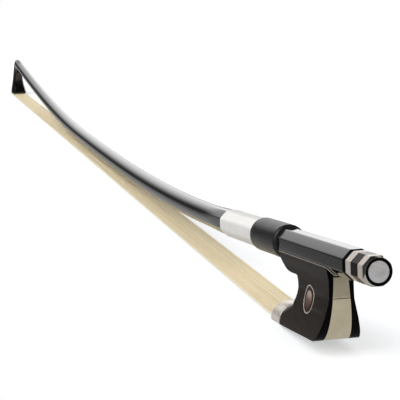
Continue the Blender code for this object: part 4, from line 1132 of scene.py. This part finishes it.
    def head_rings(self) -> np.ndarray:
        """Rings through the stations on a smooth curve, with the sole lifted towards the nose.

        Between two stations the curve is Catmull and Rom's cubic through their neighbours too. The
        last span takes on the lift in even steps: the lift's height times the square of the share of
        its length that is left to the nose.
        """
        rows = self.head_stations()
        padded = np.concatenate([2 * rows[:1] - rows[1:2], rows, 2 * rows[-1:] - rows[-2:-1]])
        t = (np.arange(self.head_steps) / self.head_steps)[None, :, None]
        a, b, c, d = (padded[k : len(padded) - 3 + k][:, None] for k in range(4))
        curve = 0.5 * (2 * b + (c - a) * t + (2 * a - 5 * b + 4 * c - d) * t**2 + (3 * b - a - 3 * c + d) * t**3)
        rows = np.concatenate([curve.reshape(-1, rows.shape[1]), rows[-1:]])
        throat = np.column_stack([self.nose_x - rows[:, 0], self.underside + rows[:, 1]])
        ridge = np.column_stack([self.nose_x - rows[:, 2], self.underside + rows[:, 3]])
        rings = self.rings(throat, ridge, rows[:, 4], np.zeros(len(rows)), np.clip(rows[:, 5], 0, 1))
        taken = np.zeros(len(rows))
        taken[-self.head_steps - 1 :] = np.linspace(0, 1, self.head_steps + 1)
        left = np.clip(1 - (self.nose_x - rings[..., 0]) / self.lift_back, 0, 1)
        rings[..., 2] += taken[:, None] * self.lift * left**2
        return rings

    def mortise_cutter(self) -> bpy.types.Object:
        """The hole under the head that holds the hair's knot."""
        low = (self.mortise[0], -self.mortise_half, -MM)
        return box_piece("mortise_cutter", low, (self.mortise[1], self.mortise_half, self.mortise_top))

    def slot_cutter(self) -> bpy.types.Object:
        """The slot that the eyelet runs in, sloped with the handle."""
        low = (self.slot[0], -self.slot_half, -2 * self.flats)
        cutter = box_piece("slot_cutter", low, (self.slot[1], self.slot_half, self.slot_top))
        cutter.data.transform(self.handle.matrix())
        return cutter

    def stick(self) -> bpy.types.Object:
        """The whole stick, slotted and mortised."""
        rings = np.concatenate([self.handle_rings(), self.camber_rings(), self.head_rings()])
        count = rings.shape[1]
        faces = grid_faces(len(rings), count, False, True).tolist()
        faces += even_cap(count, 0) + even_cap(count, (len(rings) - 1) * count)
        piece = mesh_piece("stick_and_head", rings, faces)
        return smooth(carve(piece, self.slot_cutter(), self.mortise_cutter()))

    def layer(self, name: str, top: float, wall: float) -> bpy.types.Object:
        """A sheet under the head with the head's outline, its rims eased and its mortise cut.

        Args:
            name: the piece's name.
            top: height of its upper face away from the nose.
            wall: its thickness.

        Returns:
            The sheet.
        """
        outline = self.head_rings()[-1]
        middle = outline.mean(axis=0)
        ease_in = 0.06 * MM
        rings = []
        for drop, inset in ((0.0, ease_in), (ease_in, 0.0), (wall - ease_in, 0.0), (wall, ease_in)):
            inward = middle - outline
            inward[:, 2] = 0
            length = np.linalg.norm(inward, axis=1, keepdims=True)
            ring = outline + inward / length * inset
            ring[:, 2] += top - self.sole - drop
            rings.append(ring)
        rings = np.array(rings)
        count = len(outline)
        faces = grid_faces(len(rings), count, False, True).tolist()
        faces += even_cap(count, 0) + even_cap(count, (len(rings) - 1) * count)
        return smooth(carve(mesh_piece(name, rings, faces), self.mortise_cutter()))

    def dress(self, dresser: Dresser) -> None:
        """Builds and finishes the stick, the liner and the plate."""
        stick = dresser.dress(self.stick(), Slot.LACQUER, Body.STICK, "stick")
        # Painted shadow: the stick's rounded end by the button is made near-black ebony in place of lacquer, for the
        # dark gap before the ring.
        rim = face_values(stick, "normal")[:, 0] < -0.25
        dresser.refinish(stick, PAINTED_SHADE_EBONY, rim & dresser.near_face(stick, self.handle, 2 * self.end))
        top = self.sole - self.layer_fit
        dresser.dress(self.layer("head_liner", top, self.liner_wall), Slot.EBONY, Body.STICK, "tip_liner")
        top -= self.liner_wall + self.layer_fit
        dresser.dress(self.layer("head_plate", top, self.plate_wall), Slot.LACQUER, Body.STICK, "tip_plate")


@dataclass
class Heel:
    """The frog's rounded heel and its sides, as other pieces need them."""

    rear: float = 30.8 * MM
    depth: float = 24.9 * MM
    curve_start: float = 11.0 * MM
    curve_length: float = 8.0 * MM
    curve_height: float = 14.2 * MM
    waist: float = 3.9 * MM
    base: float = 7.3 * MM
    collar: float = 4.5 * MM
    flare_start: float = 11.0 * MM
    flare_softness: float = 0.12
    trough: float = 5.02 * MM

    def back(self, depth: np.ndarray) -> np.ndarray:
        """How far the heel stands forward of the rear face: a quarter of an ellipse."""
        drop = np.clip((depth - self.curve_start) / self.curve_height, 0, 1)
        return self.curve_length * (1 - np.sqrt(1 - drop * drop))

    def point(self, depth: np.ndarray, inset: float) -> np.ndarray:
        """(x, z) points on the heel at depths, set in square to its surface."""
        near = 0.01 * MM
        slope = np.arctan((self.back(depth + near) - self.back(depth - near)) / (2 * near))
        x = self.rear + self.back(depth) + inset * np.cos(slope)
        return np.column_stack([x, np.maximum(-depth + inset * np.sin(slope), -self.depth + inset)])

    def half_width(self, depth: np.ndarray) -> np.ndarray:
        """Half the frog's width at a depth: narrow under the stick, flaring towards its base.

        The flare follows a hyperbola: level where it starts, then nearly straight down to the base.
        """
        neck = self.collar + (self.waist - self.collar) * ease((depth - self.trough / 2) / (self.flare_start / 3))
        share = np.clip((depth - self.flare_start) / (self.depth - self.flare_start), 0, 1)
        soft = self.flare_softness
        swept = (np.hypot(share, soft) - soft) / (math.hypot(1.0, soft) - soft)
        skirt = self.waist + (self.base - self.waist) * swept
        return np.where(depth < self.flare_start, neck, skirt)


@dataclass
class HeelPlates:
    """The two silver plates let into the heel, with a seam between them."""

    handle: Handle
    heel: Heel
    wall: float = 0.6 * MM
    top: float = 5.3 * MM
    seam: float = 11.7 * MM
    fit: float = 0.1 * MM
    top_half: float = 2.4 * MM
    base_half: float = 4.0 * MM
    foot_end: float = 44.0 * MM
    rim: float = 0.06 * MM
    power: float = 1.3

    def plate(self, name: str, top: float, bottom: float, foot: bool) -> bpy.types.Object:
        """One plate: a strip bent down the heel, its rims eased, that widens towards the base.

        Each row is a ring round the strip's section. Its outer points lie on the heel's surface and
        its inner ones a wall's thickness in. The half width grows with a power of the depth.

        Args:
            name: the piece's name.
            top: depth of its upper end.
            bottom: depth of its lower end.
            foot: whether it runs on under the frog's base.

        Returns:
            The plate.
        """
        body = np.linspace(top + self.rim, bottom - self.rim, 26)
        depth = np.concatenate([[top], body, [bottom]])
        lowest = depth.max()
        outer, inner = self.heel.point(depth, 0.0), self.heel.point(depth, self.wall)
        if foot:
            share = np.linspace(0, 1, 7)[1:, None]
            outer_end = np.array([[self.foot_end, -self.heel.depth]])
            inner_end = outer_end + np.array([[0.0, self.wall]])
            outer = np.concatenate([outer, outer[-1:] + (outer_end - outer[-1:]) * share])
            inner = np.concatenate([inner, inner[-1:] + (inner_end - inner[-1:]) * share])
            depth = np.concatenate([depth, np.full(len(share), lowest)])
        sunk = np.zeros(len(depth))
        sunk[[0, -1]] = self.rim / self.wall
        face = outer + (inner - outer) * sunk[:, None]
        edge = outer + (inner - outer) * np.maximum(sunk, self.rim / self.wall)[:, None]
        share = np.clip((depth - self.top) / (self.heel.depth - self.top), 0, 1)
        half = self.top_half + (self.base_half - self.top_half) * share**self.power
        inset = half - self.rim
        columns = [
            (edge, -half), (face, -inset), (face, -0.5 * half), (face, 0 * half), (face, 0.5 * half),
            (face, inset), (edge, half), (inner, half), (inner, 0 * half), (inner, -half),
        ]
        rings = np.stack([np.column_stack([row[:, 0], y, row[:, 1]]) for row, y in columns], axis=1)
        return smooth(loft(name, self.handle.to_bow(rings)))

    def dress(self, dresser: Dresser) -> None:
        """Builds both plates; each also stands for the pins filed flush in it."""
        upper = self.plate("upper_heel_plate", self.top, self.seam - self.fit / 2, False)
        nodes = ("heel_plate_upper", "heel_plate_upper_pin_1")
        dresser.dress(upper, Slot.SILVER, Body.FROG, *nodes, finish=PLATE_SILVER)
        lower = self.plate("lower_heel_plate", self.seam + self.fit / 2, self.heel.depth, True)
        nodes = ("heel_plate_lower", "heel_plate_lower_pin_1", "heel_plate_lower_pin_2")
        dresser.dress(lower, Slot.SILVER, Body.FROG, *nodes, finish=PLATE_SILVER)


@dataclass
class Eyes:
    """The round inlays in the frog's sides: a thin silver ring and a domed pearl dot inside it."""

    handle: Handle
    heel: Heel
    at: float = 48.2 * MM
    depth: float = 14.0 * MM
    ring: float = 4.35 * MM
    ring_width: float = 0.34 * MM
    pearl: float = 2.7 * MM
    brim: float = 3.8 * MM
    inlay: float = 1.2 * MM
    proud: float = 0.02 * MM
    dome: float = 0.12 * MM
    around: int = 72

    def lathe(self, name: str, side: int, radius: list[float], lift: list[float], looped: bool) -> bpy.types.Object:
        """A round piece let into the frog's curved side.

        Each row is a circle in the side view. Its points stand off the frog's own half width at their
        depth by the row's lift, or lie on the inlay's flat floor where the lift is not a number.

        Args:
            name: the piece's name.
            side: 1 for the left side, -1 for the right.
            radius: each row's radius.
            lift: each row's height over the frog's side, or NaN for the floor.
            looped: whether the last row joins the first.

        Returns:
            The piece.
        """
        angle = np.linspace(0, 2 * math.pi, self.around, endpoint=False)
        reach = np.array(radius)[:, None]
        x = self.at + reach * np.cos(angle)
        z = -self.depth + reach * np.sin(angle)
        over = np.array(lift)[:, None]
        floor = float(self.heel.half_width(np.array(self.depth))) - self.inlay
        y = np.where(np.isnan(over), floor, self.heel.half_width(-z) + np.nan_to_num(over))
        return smooth(loft(name, self.handle.to_bow(np.stack([x, side * y, z], axis=-1)), looped))

    def shade(self, pearl: bpy.types.Object) -> None:
        """Stores how pale the shell is at each point: a painted highlight high up, painted shade towards the dot's
        foot, and dark beyond the dot's own rim.

        The tone is a share of painted light that grows from the dot's foot to its top, times a mask that eases to 0
        just outside the dot.
        """
        points = np.empty(3 * len(pearl.data.vertices))
        pearl.data.vertices.foreach_get("co", points)
        points = points.reshape(-1, 3)
        middle = self.handle.to_bow(np.array([self.at, 0.0, -self.depth]))
        x, z = points[:, 0] - middle[0], points[:, 2] - middle[2]
        inside = ease((1.1 * self.pearl - np.hypot(x, z)) / (0.2 * self.pearl))
        # Painted light: pale at the dot's top as if lit from above, darker towards its foot.
        high = np.clip(0.5 + z / (2 * self.pearl), 0, 1)
        tone = inside * (0.32 + 0.68 * high**1.2)
        pearl.data.attributes.new(EyeShell().tone_and_painted_light_attribute, "FLOAT", "POINT")
        pearl.data.attributes[EyeShell().tone_and_painted_light_attribute].data.foreach_set("value", tone.astype(np.float32))

    def dress(self, dresser: Dresser) -> None:
        """Builds the ring and the pearl on both sides."""
        floor, edge = math.nan, 2 * self.proud
        inside = self.ring - self.ring_width
        rings = [self.ring, self.ring, self.ring - edge, inside + edge, inside, inside]
        ring_lift = [floor, -self.proud, self.proud, self.proud, -self.proud, floor]
        share = np.array([1.0, 0.99, 0.96, 0.9, 0.82, 0.74, 0.66, 0.56, 0.44, 0.3, 0.16, 0.05])
        lift = self.proud + self.dome * (1 - share**2)
        radius = [self.pearl, self.pearl, self.brim, *(self.brim * share)]
        lift = [floor, 0.1 * self.proud, 0.1 * self.proud, *lift]
        for side, mark in ((1, "left"), (-1, "right")):
            ring = self.lathe(f"eye_rim_{mark}", side, rings, ring_lift, True)
            dresser.dress(ring, Slot.SILVER, Body.FROG, f"eye_ring_{mark}", finish=RING_SILVER)
            pearl = self.lathe(f"eye_dot_{mark}", side, radius, lift, False)
            self.shade(pearl)
            dresser.dress(pearl, Slot.BROWN_PEARL, Body.FROG, f"eye_pearl_{mark}")


@dataclass
class Ferrule:
    """The silver D-shaped band that spreads the hair, with its two mouths filed round."""

    handle: Handle
    start: float = 70.3 * MM
    length: float = 8.5 * MM
    half: float = 7.3 * MM
    height: float = 6.2 * MM
    wall: float = 0.5 * MM
    corner: float = 0.8 * MM
    depth: float = 24.9 * MM
    edge: float = 0.14 * MM

    def outline(self, inset: float) -> np.ndarray:
        """(y, z) points of the D: an arch on two quarter-round corners and a flat sole.

        Args:
            inset: how far inside the outer surface it runs.

        Returns:
            An array of shape (points, 2).
        """
        arch = np.linspace(0, math.pi, 61)
        floor = self.corner - self.depth
        y = (self.half - inset) * np.cos(arch)
        z = floor + (self.height - self.corner - inset) * np.sin(arch)
        turn = np.linspace(math.pi, 1.5 * math.pi, 8)[1:]
        bend = self.corner - inset
        left_y = -(self.half - self.corner) + bend * np.cos(turn)
        left_z = floor + bend * np.sin(turn)
        sole = np.linspace(-1, 1, 9)[1:-1] * (self.half - self.corner)
        right_y, right_z = -left_y[::-1], left_z[::-1]
        y = np.concatenate([y, left_y, sole, right_y])
        z = np.concatenate([z, left_z, np.full(len(sole), floor - bend), right_z])
        return np.column_stack([y, z])

    def band(self) -> bpy.types.Object:
        """The band as one looped skin: out over its rims and back along its inside."""
        turn = np.linspace(0, math.pi / 2, 5)
        near = [(self.start + self.edge * (1 - math.cos(t)), self.edge * (1 - math.sin(t))) for t in turn]
        end = self.start + self.length
        far = [(2 * self.start + self.length - x, inset) for x, inset in reversed(near)]
        rows = [(self.start, self.wall), *near, *far, (end, self.wall)]
        rings = []
        for x, inset in rows:
            flat = self.outline(inset)
            rings.append(np.column_stack([np.full(len(flat), x), flat]))
        return smooth(loft("ferrule_band", self.handle.to_bow(np.array(rings)), looped=True))

    def dress(self, dresser: Dresser) -> None:
        """Builds and finishes the band."""
        dresser.dress(self.band(), Slot.SILVER, Body.FROG, "ferrule", finish=FERRULE_SILVER)


@dataclass
class FrogPieces:
    """The frog's rigid pieces whose CAD shape is right: they get filed edges and their finish."""

    handle: Handle
    filing: float = 0.14 * MM
    thumb_ease: float = 1.8 * MM
    eyes_end: float = 53.0 * MM
    channel: float = 18.1 * MM
    ferrule: float = 68.0 * MM
    tongue: float = 5.2 * MM

    def ease_throat(self, body: bpy.types.Object) -> None:
        """Rounds the throat's two long edges for the thumb, far more than the other edges.

        An edge belongs to the throat where one of its faces looks sideways, the other looks forward
        or down, and its middle lies in front of the eyes and above the hair's channel. The same long
        rounding runs on to the ferrule, where the other face looks up.
        """
        shape = bmesh.new()
        shape.from_mesh(body.data)
        weights = np.zeros(len(shape.edges), dtype=np.float32)
        for number, edge in enumerate(shape.edges):
            if len(edge.link_faces) != 2 or edge.calc_face_angle() < math.radians(35):
                continue
            weights[number] = self.filing / self.thumb_ease
            side, front = sorted((face.normal for face in edge.link_faces), key=lambda n: -abs(n.y))
            middle = (edge.verts[0].co + edge.verts[1].co) / 2
            ahead, up = middle.x - self.handle.face_x, middle.z - self.handle.height
            along = ahead * math.cos(self.handle.tilt) - up * math.sin(self.handle.tilt)
            depth = -ahead * math.sin(self.handle.tilt) - up * math.cos(self.handle.tilt)
            in_throat = abs(front.y) < 0.3 and (front.x > 0.25 or front.z < -0.5) and depth < self.channel
            to_ferrule = front.z > 0.6 and along < self.ferrule and abs(middle.y) > self.tongue
            if along > self.eyes_end and abs(side.y) > 0.75 and (in_throat or to_ferrule):
                weights[number] = 1.0
        shape.free()
        marks = body.data.attributes.new("bevel_weight_edge", "FLOAT", "EDGE")
        marks.data.foreach_set("value", weights)
        rounding = body.modifiers["filed_edges"]
        rounding.limit_method = "WEIGHT"
        rounding.width = self.thumb_ease
        rounding.segments = 4

    def dress(self, dresser: Dresser) -> None:
        """Finishes the body, the liner and the slide."""
        body = dresser.soften("frog_body", Slot.EBONY, Body.FROG, self.filing)
        self.ease_throat(body)
        # Painted shade: faces turned back towards -X are made near black, for the heel's dark rear bands.
        dresser.refinish(body, PAINTED_SHADE_EBONY, face_values(body, "normal")[:, 0] < -0.6)
        dresser.soften("underslide", Slot.SILVER, Body.FROG, 0.05 * MM, finish=LINER_SILVER)
        dresser.soften("slide_pearl", Slot.ABALONE, Body.FROG, 0.08 * MM)


@dataclass
class HairBand:
    """The slack ribbon of hair, as single strands in layers from the frog's knot to the head's."""

    handle: Handle
    knot: tuple[float, float] = (53.4 * MM, -19.45 * MM)
    drop: float = 4.4 * MM
    slide_line: float = -22.4 * MM
    sole_line: float = -23.85 * MM
    half_thickness: float = 0.45 * MM
    strands_across: int = 66
    layers: int = 3
    strand_radius: float = 0.085 * MM
    flattened: float = 1.3
    sides: int = 5
    long_steps: int = 22

    def route(self) -> np.ndarray:
        """(x, z, width) points along the ribbon's middle, in the bow's frame.

        From the knot it drops along an eased curve to the slide, runs out over the ferrule's sole,
        spans freely to the head, and bends up into the head's mortise.

        Returns:
            An array of shape (points, 3).
        """
        share = np.array([0.0, 0.3, 0.7, 1.0])
        down = self.knot[1] + (self.slide_line - self.knot[1]) * ease(share)
        rows = [(self.knot[0] + self.drop * s, z, 6.8 * MM) for s, z in zip(share, down)]
        rows.append((70.5 * MM, self.slide_line, 6.8 * MM))
        rows.append((72.8 * MM, self.sole_line, 8.8 * MM))
        rows.append((78.8 * MM, self.sole_line, 12.4 * MM))
        x, z, width = np.array(rows).T
        placed = self.handle.to_bow(np.column_stack([x, 0 * x, z]))
        in_frog = np.column_stack([placed[:, 0], placed[:, 2], width])
        in_head = MM * np.array(
            [
                (343.5, 0.45, 10.0),
                (352.364, 0.45, 6.6),
                (353.518, 0.582, 5.2),
                (353.65, 4.8, 5.2),
                (354.45, 6.1, 5.2),
                (356.8, 6.4, 5.2),
            ]
        )
        share = np.linspace(0, 1, self.long_steps)[1:-1, None]
        free = in_frog[-1:] * (1 - share) + in_head[:1] * share
        return np.concatenate([in_frog, free, in_head])

    def lines(self, chance: np.random.Generator) -> tuple[np.ndarray, np.ndarray]:
        """Where each strand runs, and the route's normals.

        A strand's line is the route's middle, plus its place across times half the local width, plus
        its layer's height along the route's normal, plus slow waves of its own that fade at both ends.

        Args:
            chance: the seeded source of chance.

        Returns:
            Points of shape (strands, steps, 3) and normals of shape (steps, 3).
        """
        route = self.route()
        middle = np.column_stack([route[:, 0], np.zeros(len(route)), route[:, 1]])
        ahead = np.gradient(middle, axis=0)
        ahead /= np.linalg.norm(ahead, axis=1, keepdims=True)
        normal = np.column_stack([-ahead[:, 2], np.zeros(len(route)), ahead[:, 0]])
        count = self.strands_across * self.layers
        across = np.tile(np.linspace(-1, 1, self.strands_across), self.layers)
        across = across + chance.uniform(-0.6, 0.6, count) / self.strands_across
        limit = 1 - 2 * self.strand_radius / route[:, 2].min()
        across = np.clip(across, -limit, limit)
        level = np.repeat(np.linspace(-1, 1, self.layers), self.strands_across)
        level = level * (self.half_thickness - 1.9 * self.strand_radius) * (1 - 0.5 * np.abs(across) ** 8)
        turn = chance.uniform(0, 2 * math.pi, (2, count, 1))
        along = np.linspace(0, 1, len(route))[None, :]
        free = np.sin(np.pi * along) ** 0.5
        drift = 0.6 / self.strands_across * np.sin(turn[0] + 5.0 * along * math.pi) * free
        lift = 0.7 * self.strand_radius * np.sin(turn[1] + 7.0 * along * math.pi) * free
        place = np.clip(across[:, None] + drift, -limit, limit)
        line = middle[None] + normal[None] * (level[:, None] + lift)[..., None]
        line[..., 1] += place * route[None, :, 2] / 2
        return line, normal

    def build(self) -> bpy.types.Object:
        """Sweeps a small circle, flattened as strands pressed side by side are, along each line.

        Returns:
            One mesh with every strand and its shade.
        """
        chance = np.random.default_rng(7)
        line, normal = self.lines(chance)
        count, steps = line.shape[:2]
        angle = np.linspace(0, 2 * math.pi, self.sides, endpoint=False)
        ring_up = np.cos(angle)[None, None, :, None] * normal[None, :, None, :]
        ring_out = np.sin(angle)[None, None, :, None] * np.array([0, -self.flattened, 0])
        rings = line[:, :, None, :] + self.strand_radius * (ring_up + ring_out)
        one = grid_faces(steps, self.sides, False, True)
        per_strand = steps * self.sides
        offsets = (np.arange(count) * per_strand)[:, None, None]
        walls = (one[None] + offsets).reshape(-1, 4).tolist()
        first = (np.arange(self.sides)[None, ::-1] + offsets[:, :, 0]).tolist()
        last = (np.arange(per_strand - self.sides, per_strand)[None] + offsets[:, :, 0]).tolist()
        mesh = bpy.data.meshes.new("hair_strands")
        mesh.from_pydata(rings.reshape(-1, 3).tolist(), [], walls + first + last)
        shade = mesh.attributes.new(Horsehair().shade_attribute, "FLOAT", "POINT")
        own = np.repeat(chance.beta(2.2, 2.0, count), per_strand)
        shade.data.foreach_set("value", own.astype(np.float32))
        piece = bpy.data.objects.new("hair_strands", mesh)
        bpy.context.scene.collection.objects.link(piece)
        mesh.shade_smooth()
        return piece

    def dress(self, dresser: Dresser) -> None:
        """Builds the hair, which runs from the frog's knot to the head's, and gives it its finish."""
        piece = self.build()
        piece.data.materials.append(dresser.paints[Slot.HAIR])
        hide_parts("hair_ribbon")
        ferrule = self.handle.to_bow(np.array([78.8 * MM, 0.0, self.sole_line]))
        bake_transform(piece)
        LOG.info("hair_strands: %d points", len(piece.data.vertices))


@dataclass
class Studio:
    """A plain pale table, soft light from above, and the camera at the photograph's angle."""

    handle: Handle
    camera_place: tuple[float, float, float] = (-378.27 * MM, 145.82 * MM, 57.49 * MM)
    yaw: float = math.radians(14.285)
    pitch: float = math.radians(-5.092)
    roll: float = math.radians(-2.288)
    focal_pixels: float = 1489.8
    image_width: int = 400
    film_width: float = 36.0
    table_from: tuple[float, float] = (-0.70, -1.1)
    table_to: tuple[float, float] = (1.3, 0.08)
    table_grey: tuple[float, float, float] = (0.49, 0.50, 0.515)
    table_pale: tuple[float, float, float] = (0.745, 0.755, 0.77)
    table_glow: float = 0.45
    table_near: float = 0.42
    table_left: float = 0.13
    table_heel: float = 0.46
    sky_seen: float = 1.0
    sky_light: float = 0.70
    sky_behind: float = 0.13
    sky_dim: float = 0.05
    panel: float = 1.2
    panel_right: float = 1.35
    key_energy: float = 1.2
    key_turn: tuple[float, float] = (math.radians(-45), math.radians(-10))

    def camera(self) -> None:
        """Places the camera: yaw from +X towards -Y, then pitch, then roll, in the handle's frame."""
        level_cos = math.cos(self.pitch)
        forward = Vector((level_cos * math.cos(self.yaw), -level_cos * math.sin(self.yaw), math.sin(self.pitch)))
        level = forward.cross(Vector((0, 0, 1))).normalized()
        above = level.cross(forward)
        right = math.cos(self.roll) * level + math.sin(self.roll) * above
        up = -math.sin(self.roll) * level + math.cos(self.roll) * above
        pose = Matrix((right, up, -forward)).transposed().to_4x4()
        pose.translation = Vector(self.camera_place)
        data = bpy.data.cameras.new("photo_camera")
        data.lens = self.film_width * self.focal_pixels / self.image_width
        data.sensor_width = self.film_width
        data.clip_start = 0.01
        camera = bpy.data.objects.new("photo_camera", data)
        bpy.context.scene.collection.objects.link(camera)
        camera.matrix_world = self.handle.matrix() @ pose
        bpy.context.scene.camera = camera

    def sum_up(self, tree: bpy.types.NodeTree, kind: str, first: object, second: object) -> bpy.types.NodeSocket:
        """Joins two sockets or numbers with a Math node.

        Args:
            tree: the node tree.
            kind: the Math node's operation.
            first: a socket or a number.
            second: a socket or a number.

        Returns:
            The result.
        """
        made = tree.nodes.new("ShaderNodeMath")
        made.operation = kind
        for socket, value in zip(made.inputs, (first, second)):
            if isinstance(value, bpy.types.NodeSocket):
                tree.links.new(value, socket)
            else:
                socket.default_value = value
        return made.outputs[0]

    def band(
        self, tree: bpy.types.NodeTree, value: bpy.types.NodeSocket, span: tuple[float, float], ends: tuple[float, float]
    ) -> bpy.types.NodeSocket:
        """Eases from one level to another while a value crosses a span.

        Args:
            tree: the node tree.
            value: the value.
            span: where the change starts and ends.
            ends: the levels before and after.

        Returns:
            The level.
        """
        made = tree.nodes.new("ShaderNodeMapRange")
        made.interpolation_type = "SMOOTHSTEP"
        for name, number in zip(("From Min", "From Max", "To Min", "To Max"), (*span, *ends)):
            made.inputs[name].default_value = number
        tree.links.new(value, made.inputs["Value"])
        return made.outputs["Result"]

    def floor(self) -> None:
        """A pale table that keeps the bow's shadow.

        What mirrors it sees it dim from the bow's right to its left, and brighter round the heel.
        """
        (x0, y0), (x1, y1) = self.table_from, self.table_to
        mesh = bpy.data.meshes.new("studio_table")
        mesh.from_pydata([(x0, y0, 0), (x1, y0, 0), (x1, y1, 0), (x0, y1, 0)], [], [[0, 1, 2, 3]])
        floor = bpy.data.objects.new("studio_table", mesh)
        bpy.context.scene.collection.objects.link(floor)
        nodes = Nodes("pale_table")
        nodes.set(Roughness=0.9, Specular_IOR_Level=0.0)
        nodes.shader.inputs["Emission Color"].default_value = (1, 1, 1, 1)
        tree = nodes.tree
        path = tree.nodes.new("ShaderNodeLightPath")
        mirrored = path.outputs["Is Glossy Ray"]
        seen = self.sum_up(tree, "MAXIMUM", path.outputs["Is Camera Ray"], path.outputs["Is Transmission Ray"])
        half = self.sum_up(tree, "MULTIPLY", seen, 0.5)
        kinds = [(0.0, self.table_grey), (0.5, self.table_pale), (1.0, (0.04,) * 3)]
        nodes.wire(nodes.ramp(self.sum_up(tree, "ADD", half, mirrored), kinds), "Base Color")
        glow = self.sum_up(tree, "MULTIPLY", seen, self.table_glow)
        split = tree.nodes.new("ShaderNodeSeparateXYZ")
        tree.links.new(nodes.place, split.inputs["Vector"])
        across = self.band(tree, split.outputs["Y"], (0.005, 0.048), (self.table_near, self.table_left))
        heel = self.band(tree, split.outputs["X"], (-0.33, -0.29), (self.table_heel, 0.0))
        level = self.sum_up(tree, "MAXIMUM", across, heel)
        gleam = self.sum_up(tree, "MULTIPLY", mirrored, level)
        nodes.wire(self.sum_up(tree, "ADD", glow, gleam), "Emission Strength")
        mesh.materials.append(nodes.material)

    def sky(self) -> None:
        """A white background, which metal and lacquer mirror as a dim room with a broad bright panel.

        The panel stands ahead and leans: its level grows with a ray's X and with its height less its
        Y, falls away high up, and is highest far to the right. The room is darker overhead.
        """
        world = bpy.data.worlds.new("pale_studio")
        world.use_nodes = True
        tree = world.node_tree
        path = tree.nodes.new("ShaderNodeLightPath")
        split = tree.nodes.new("ShaderNodeSeparateXYZ")
        tree.links.new(tree.nodes.new("ShaderNodeTexCoord").outputs["Generated"], split.inputs["Vector"])
        room = self.band(tree, split.outputs["X"], (-0.3, 0.3), (self.sky_behind, self.sky_dim))
        ahead = self.band(tree, split.outputs["X"], (0.2, 0.85), (0.0, 1.0))
        glare = self.band(tree, split.outputs["Y"], (-0.37, -0.26), (self.panel_right, self.panel))
        ahead = self.sum_up(tree, "MULTIPLY", ahead, glare)
        lean = self.sum_up(tree, "SUBTRACT", split.outputs["Z"], split.outputs["Y"])
        right = self.band(tree, lean, (-0.20, 0.32), (0.0, 1.0))
        low = self.band(tree, split.outputs["Z"], (0.26, 0.42), (1.0, 0.0))
        mirrored = self.sum_up(tree, "MULTIPLY", self.sum_up(tree, "MULTIPLY", ahead, right), low)
        under = self.band(tree, split.outputs["Z"], (0.35, 0.85), (1.0, 0.25))
        mirrored = self.sum_up(tree, "ADD", mirrored, self.sum_up(tree, "MULTIPLY", room, under))
        change = self.sum_up(tree, "SUBTRACT", mirrored, self.sky_light)
        change = self.sum_up(tree, "MULTIPLY", change, path.outputs["Is Glossy Ray"])
        level = self.sum_up(tree, "ADD", change, self.sky_light)
        seen = self.sum_up(tree, "MAXIMUM", path.outputs["Is Camera Ray"], path.outputs["Is Transmission Ray"])
        level = self.sum_up(tree, "MAXIMUM", level, self.sum_up(tree, "MULTIPLY", seen, self.sky_seen))
        tree.links.new(level, tree.nodes["Background"].inputs["Strength"])
        tree.nodes["Background"].inputs["Color"].default_value = (1, 1, 1, 1)
        bpy.context.scene.world = world

    def key(self) -> None:
        """One broad soft sun from above, behind and to the left."""
        sun = bpy.data.lights.new("soft_key", "SUN")
        sun.energy = self.key_energy
        sun.angle = math.radians(50)
        key = bpy.data.objects.new("soft_key", sun)
        key.rotation_euler = (*self.key_turn, 0)
        bpy.context.scene.collection.objects.link(key)

    def build(self) -> None:
        """Sets the stage."""
        self.camera()
        self.floor()
        self.sky()
        self.key()
        bpy.context.scene.view_settings.view_transform = "Standard"


def clear_start() -> None:
    """Removes what a new file starts with."""
    for thing in list(bpy.data.objects):
        bpy.data.objects.remove(thing, do_unlink=True)


def main() -> None:
    """Builds the bow's looks round the frame, in order."""
    logging.basicConfig(level=logging.INFO, format="%(message)s")
    clear_start()
    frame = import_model()
    handle, heel = Handle(), Heel()
    dresser = Dresser(frame, Paints())
    dresser.finish_hidden()
    pieces = [Button(handle), Grip(handle), Stick(handle), HeelPlates(handle, heel), Eyes(handle, heel)]
    for piece in (*pieces, Ferrule(handle), FrogPieces(handle), HairBand(handle)):
        LOG.info("%s", type(piece).__name__)
        piece.dress(dresser)
    Studio(handle).build()


if __name__ == "__main__":
    main()
